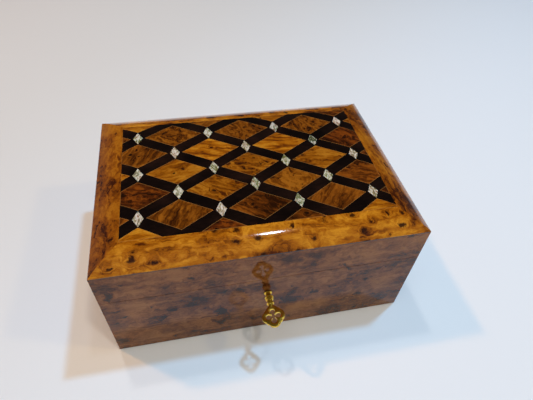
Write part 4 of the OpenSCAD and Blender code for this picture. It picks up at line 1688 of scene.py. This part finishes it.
@dataclass
class LockKey:
    """The small turned brass key with a quatrefoil bow, in the lock."""

    tilt: float = 10.0
    bow_at: float = 16.9
    bow_half: float = 1.0
    shank_r: float = 1.5
    bore_r: float = 0.65
    bore_len: float = 5.1
    tail: float = 6.85
    bit_low: Point = (-4.6, 3.4, -0.7)
    bit_high: Point = (-1.0, 6.4, 0.7)
    sides: int = 40

    def bead(
        self, start: float, end: float, neck: float, belly: float, steps: int = 6
    ) -> list[tuple[float, float]]:
        """Gives a rounded bead of the turned shank.

        Args:
            start: Where it starts, out from the casket's front.
            end: Where it ends.
            neck: Radius at both its ends.
            belly: Its largest radius.
            steps: Facets along it.

        Returns:
            Distances and radii along the bead.
        """
        made = []
        for k in range(steps + 1):
            angle = math.pi * k / steps
            out = start + (end - start) * (1 - math.cos(angle)) / 2
            made.append((out, neck + (belly - neck) * math.sin(angle)))
        return made

    def profile(self) -> list[tuple[float, float]]:
        """Gives the turned profile from the bit's end, with its drilled pipe, to the bow.

        Returns:
            Distances out from the casket's front, with their radii.
        """
        bottom = -self.tail + self.bore_len
        pipe = [(bottom, 0.02), (bottom, self.bore_r), (-self.tail, self.bore_r)]
        stem = [(-self.tail, self.shank_r - 0.15), (-self.tail + 0.15, self.shank_r), (0.0, self.shank_r)]
        collars = self.bead(0.1, 1.0, 1.7, 2.7) + [(1.3, 1.65), (3.0, 1.65)] + self.bead(3.2, 4.4, 1.75, 2.9)
        collars += self.bead(4.6, 5.7, 1.75, 2.6) + [(6.1, 1.65), (7.2, 1.6)] + self.bead(7.4, 8.7, 1.6, 2.5)
        return pipe + stem + collars + [(9.0, 1.5), (10.2, 1.35), (11.0, 1.2), (11.0, 0.02)]

    @staticmethod
    def reach_of(angle: float, out: float, radius: float, start: float) -> float:
        """Gives how far a ray from the centre runs inside four round lobes, or 0 where it misses them.

        Args:
            angle: The ray's direction.
            out: Distance of the lobes' centres.
            radius: Their radius.
            start: Direction of the first lobe.

        Returns:
            The largest distance.
        """
        best = 0.0
        for k in range(4):
            off = angle - start - k * math.pi / 2
            across = out * math.sin(off)
            if abs(across) < radius and math.cos(off) > 0:
                best = max(best, out * math.cos(off) + math.sqrt(radius ** 2 - across ** 2))
        return best

    def outer(self, angle: float) -> float:
        """Gives the bow's outer radius: four broad lobes with a small cusp between each two."""
        lobes = self.reach_of(angle, 3.2, 4.0, 0.0)
        return max(lobes, self.reach_of(angle, 5.5, 0.9, math.pi / 4))

    def inner(self, angle: float) -> float:
        """Gives the radius of the bow's quatrefoil opening."""
        square = 1.7 / (abs(math.cos(angle)) + abs(math.sin(angle)))
        return max(square, self.reach_of(angle, 2.9, 1.75, 0.0))

    def bow(self) -> tuple[list[Point], list[list[int]]]:
        """Makes the pierced bow with rounded edges, flat in X and Y about its own centre.

        Returns:
            Its points and faces.
        """
        n = 144
        h = self.bow_half
        section = [(0.0, h * 0.6), (0.12, h * 0.88), (0.35, h)]
        points: list[Point] = []
        for k in range(n):
            a = 2 * math.pi * k / n
            lo, hi = self.inner(a), self.outer(a)
            ring = [(lo + d, z) for d, z in section] + [(hi - d, z) for d, z in section[::-1]]
            ring += [(hi - d, -z) for d, z in section] + [(lo + d, -z) for d, z in section[::-1]]
            points += [(r * math.cos(a), r * math.sin(a), z) for r, z in ring]
        m = 4 * len(section)
        faces = []
        for k in range(n):
            for s in range(m):
                a, b = k * m + s, k * m + (s + 1) % m
                c, d = ((k + 1) % n) * m + (s + 1) % m, ((k + 1) % n) * m + s
                faces.append([a, b, c, d])
        return points, faces

    def neck(self) -> tuple[list[Point], list[list[int]]]:
        """Makes the wedge that joins the shank to the bow.

        Returns:
            Its points and faces.
        """
        rows = [(5.0, 2.9, 0.95), (6.3, 2.1, 0.95), (7.6, 1.5, 0.95)]
        points: list[Point] = []
        for y, w, h in rows:
            points += [(-w, y, -h * 0.6), (-w * 0.85, y, -h), (w * 0.85, y, -h), (w, y, -h * 0.6)]
            points += [(w, y, h * 0.6), (w * 0.85, y, h), (-w * 0.85, y, h), (-w, y, h * 0.6)]
        faces = [list(range(8)), [16 + k for k in range(8)][::-1]]
        for row in (0, 8):
            faces += [[row + k, row + 8 + k, row + 8 + (k + 1) % 8, row + (k + 1) % 8] for k in range(8)]
        return points, faces

    def build(self) -> None:
        """Makes the key as one piece, tilted in the lock as it rests."""
        front = node_box("front_wall")[0].y
        axis_z = joint_place("key_turn").z
        parts = []
        points, faces = lathe(self.profile(), self.sides)
        turned = Matrix.Rotation(math.pi / 2, 4, "X")
        parts.append((points, faces, turned))
        parts.append((*self.bow(), Matrix.Translation((0.0, -self.bow_at, 0.0))))
        parts.append((*self.neck(), Matrix.Translation((0.0, -self.bow_at, 0.0))))
        parts.append((*block(self.bit_low, self.bit_high), Matrix.Identity(4)))
        rest = Matrix.Translation((0.0, front, axis_z)) @ Matrix.Rotation(math.radians(-self.tilt), 4, "Y")
        bm = bmesh.new()
        for points, faces, move in parts:
            verts = [bm.verts.new((rest @ move @ Vector(p)) * MM) for p in points]
            for face in faces:
                bm.faces.new([verts[k] for k in face])
        bmesh.ops.recalc_face_normals(bm, faces=bm.faces)
        piece = smoothed(as_piece("brass_key", bm), 38.0)
        settle(piece, "lock_key", "polished_brass", GOLD_BRASS)


def joint_place(name: str) -> Vector:
    """Gives the place of a joint's axis in millimetres.

    Args:
        name: The joint's name in the record.

    Returns:
        A point on its axis.
    """
    joint = next(j for j in frame["joints"] if j["name"] == name)
    return Vector(joint["pos_m"]) / MM


@dataclass
class Movement:
    """The musical movement: bed, spring barrel, cylinder, comb, governor and winding work."""

    studs: StudTree
    parts: tuple[Part, ...] = (
        Part("bedplate", "cast_metal", CAST, 0.25),
        Part("barrel_bridge", "cast_metal", CAST, 0.2),
        Part("bearing_brackets", "cast_metal", CAST, 0.1),
        Part("comb", "comb_steel", BLUED, 0.05),
        Part("governor_frame", "brass_movement", CLOCK_BRASS, 0.05, merge=False),
        Part("click_spring", "steel", STEEL, 0.06),
        Part("plunger_guide", "polished_brass", HARDWARE_BRASS, 0.15),
        Part("stop_plunger", "polished_brass", HARDWARE_BRASS, 0.15),
        Part("winding_arbor", "steel", STEEL, 0.15),
        Part("ratchet_wheel", "steel", STEEL, 0.08),
        Part("winding_key", "polished_brass", HARDWARE_BRASS, 0.3),
        Part("click", "steel", STEEL, 0.1),
        Part("spring_barrel", "brass_movement", CLOCK_BRASS, 0.08),
        Part("mainspring", "steel", STEEL, 0.03),
        Part("music_cylinder", "brass_movement", CLOCK_BRASS, 0.2),
        Part("cylinder_gears", "brass_movement", CLOCK_BRASS, 0.05),
        Part("governor_wheel", "brass_movement", CLOCK_BRASS, 0.05),
        Part("air_brake", "ivory_plastic", IVORY, 0.01, merge=False),
    )

    def pins(self) -> None:
        """Sets the melody pins on the cylinder."""
        low, high = node_box("music_cylinder")
        axis = (low + high) / 2
        radius = (high.z - low.z) / 2
        places = []
        for box_low, box_high in islands("melody_pins"):
            middle = (box_low + box_high) / 2
            out = Vector((middle.x - axis.x, 0.0, middle.z - axis.z)).normalized()
            foot = Vector((axis.x, middle.y, axis.z)) + out * (radius - 0.1)
            places.append((foot, out))
        pin_h, pin_r = 0.9, 0.22
        profile = [(0.0, pin_r), (pin_h - 0.2, pin_r), (pin_h - 0.06, pin_r * 0.8), (pin_h, pin_r * 0.35)]
        points, faces = lathe(profile, 10)
        stud = smoothed(from_faces("melody_pin", points, faces), 40.0)
        piece = self.studs.lay("melody_pins_set", stud, places, STEEL, seed=11)
        settle(piece, "melody_pins", "brass_movement", STEEL)

    def build(self) -> None:
        """Makes every piece of the movement."""
        for part in self.parts:
            part.build()
        self.pins()
        screws = {"slot": "steel", "finish": STEEL, "studs": self.studs}
        SlottedScrews("bedplate_screws", head_h=1.2, shank_r=1.0, seed=13, **screws).build()
        SlottedScrews("bridge_screws", head_h=1.0, seed=14, **screws).build()
        SlottedScrews("frame_screws", head_h=1.0, seed=15, **screws).build()
        SlottedScrews("comb_screws", head_h=1.4, shank_r=1.0, seed=16, **screws).build()


# ---------------------------------------------------------------------------------------------
# Studio
# ---------------------------------------------------------------------------------------------


@dataclass(frozen=True)
class Lamp:
    """A small ceiling lamp: where it stands as seen from the casket, its tint and strength."""

    name: str
    azimuth: float
    elevation: float
    tint: str
    watts: float
    size: float = 0.12
    away: float = 2.0
    mirrored: bool = False

    def hang(self, target: Vector) -> None:
        """Makes the lamp, aimed at a point.

        Args:
            target: What it lights, in metres.
        """
        a, e = math.radians(self.azimuth), math.radians(self.elevation)
        toward = Vector((math.sin(a) * math.cos(e), math.cos(a) * math.cos(e), math.sin(e)))
        data = bpy.data.lights.new(self.name, "AREA")
        data.shape = "DISK"
        data.size = self.size
        data.energy = self.watts
        data.color = tone(self.tint)[:3]
        lamp = bpy.data.objects.new(self.name, data)
        lamp.location = target + toward * self.away
        lamp.visible_glossy = self.mirrored
        lamp.rotation_mode = "QUATERNION"
        lamp.rotation_quaternion = toward.to_track_quat("Z", "Y")
        bpy.context.scene.collection.objects.link(lamp)


@dataclass
class Studio:
    """Pale table, ceiling lamps, soft sky and the camera."""

    heading: float = 14.68
    pitch: float = -46.64
    roll: float = 4.06
    eye: tuple[float, float, float] = (-0.04084, -0.20486, 0.28062)
    lens: float = 28.33
    sky: str = "dfe4e8"
    sky_level: float = 0.16
    dim_level: float = 0.03
    dim_way: Point = (0.174, 0.664, 0.727)
    table_half: float = 3.0
    lamps: tuple[Lamp, ...] = (
        Lamp("lamp_over", 97.7, 80.0, "cfe6ff", 2.5, 0.12, mirrored=True),
        Lamp("lamp_cool", 70.0, 70.0, "8accff", 19.0),
        Lamp("lamp_near", 146.8, 68.0, "fff0e0", 6.0),
        Lamp("lamp_right", 110.8, 49.3, "ffdc96", 4.0),
        Lamp("lamp_back", -28.5, 72.5, "fff6f0", 5.0),
        Lamp("lamp_left", -58.6, 55.5, "ffb35c", 11.0),
        Lamp("soft_front", 200.0, 74.0, "f6f4f0", 11.0, 1.4),
    )

    def build_camera(self) -> None:
        """Makes the camera from its heading, pitch and roll."""
        h, p, r = (math.radians(v) for v in (self.heading, self.pitch, self.roll))
        forward = Vector((math.sin(h) * math.cos(p), math.cos(h) * math.cos(p), math.sin(p)))
        level = Vector((math.cos(h), -math.sin(h), 0.0))
        upright = level.cross(forward)
        right = level * math.cos(r) + upright * math.sin(r)
        up = right.cross(forward)
        data = bpy.data.cameras.new("camera")
        data.lens = self.lens
        data.sensor_width = 36.0
        data.clip_start = 0.01
        camera = bpy.data.objects.new("camera", data)
        turn = Matrix((right, up, -forward)).transposed().to_4x4()
        camera.matrix_world = Matrix.Translation(self.eye) @ turn
        bpy.context.scene.collection.objects.link(camera)
        bpy.context.scene.camera = camera

    def build_table(self) -> None:
        """Makes the table top under the casket."""
        e = self.table_half / MM
        z = -0.05
        table = from_faces("table", [(-e, -e, z), (e, -e, z), (e, e, z), (-e, e, z)], [[0, 1, 2, 3]])
        table.data.materials.append(TABLE.material())

    def build_sky(self) -> None:
        """Lights the scene softly from all round."""
        world = bpy.data.worlds.new("room")
        world.use_nodes = True
        background = world.node_tree.nodes["Background"]
        g = Graph(world.node_tree)
        way = g.add("ShaderNodeTexCoord").outputs["Generated"]
        ahead = g.call("ShaderNodeVectorMath", {0: way, 1: self.dim_way}, "Value", operation="DOT_PRODUCT")
        level = g.spread(g.eased(ahead, 0.35, 0.85), self.sky_level, self.dim_level)
        g.feed(background.inputs["Color"], tone(self.sky))
        g.feed(background.inputs["Strength"], level)
        bpy.context.scene.world = world

    def build(self) -> None:
        """Makes the whole studio."""
        self.build_camera()
        self.build_table()
        self.build_sky()
        centre = Vector((0.0, 0.0, 0.05))
        for lamp in self.lamps:
            lamp.hang(centre)
        bpy.context.scene.view_settings.view_transform = "Standard"
        log.info("studio: %d lamps", len(self.lamps))


def main() -> None:
    """Builds the studio and every sub-assembly."""
    logging.basicConfig(level=logging.INFO, format="%(name)s %(message)s")
    Studio().build()
    studs = StudTree()
    crown = Crown()
    CasketCase().build()
    LidFrame().build()
    CrownBorders(crown).build()
    Marquetry(crown, studs).build()
    Hinges(studs).build()
    LockSet(studs).build()
    LockKey().build()
    Movement(studs).build()


if __name__ == "__main__":
    main()
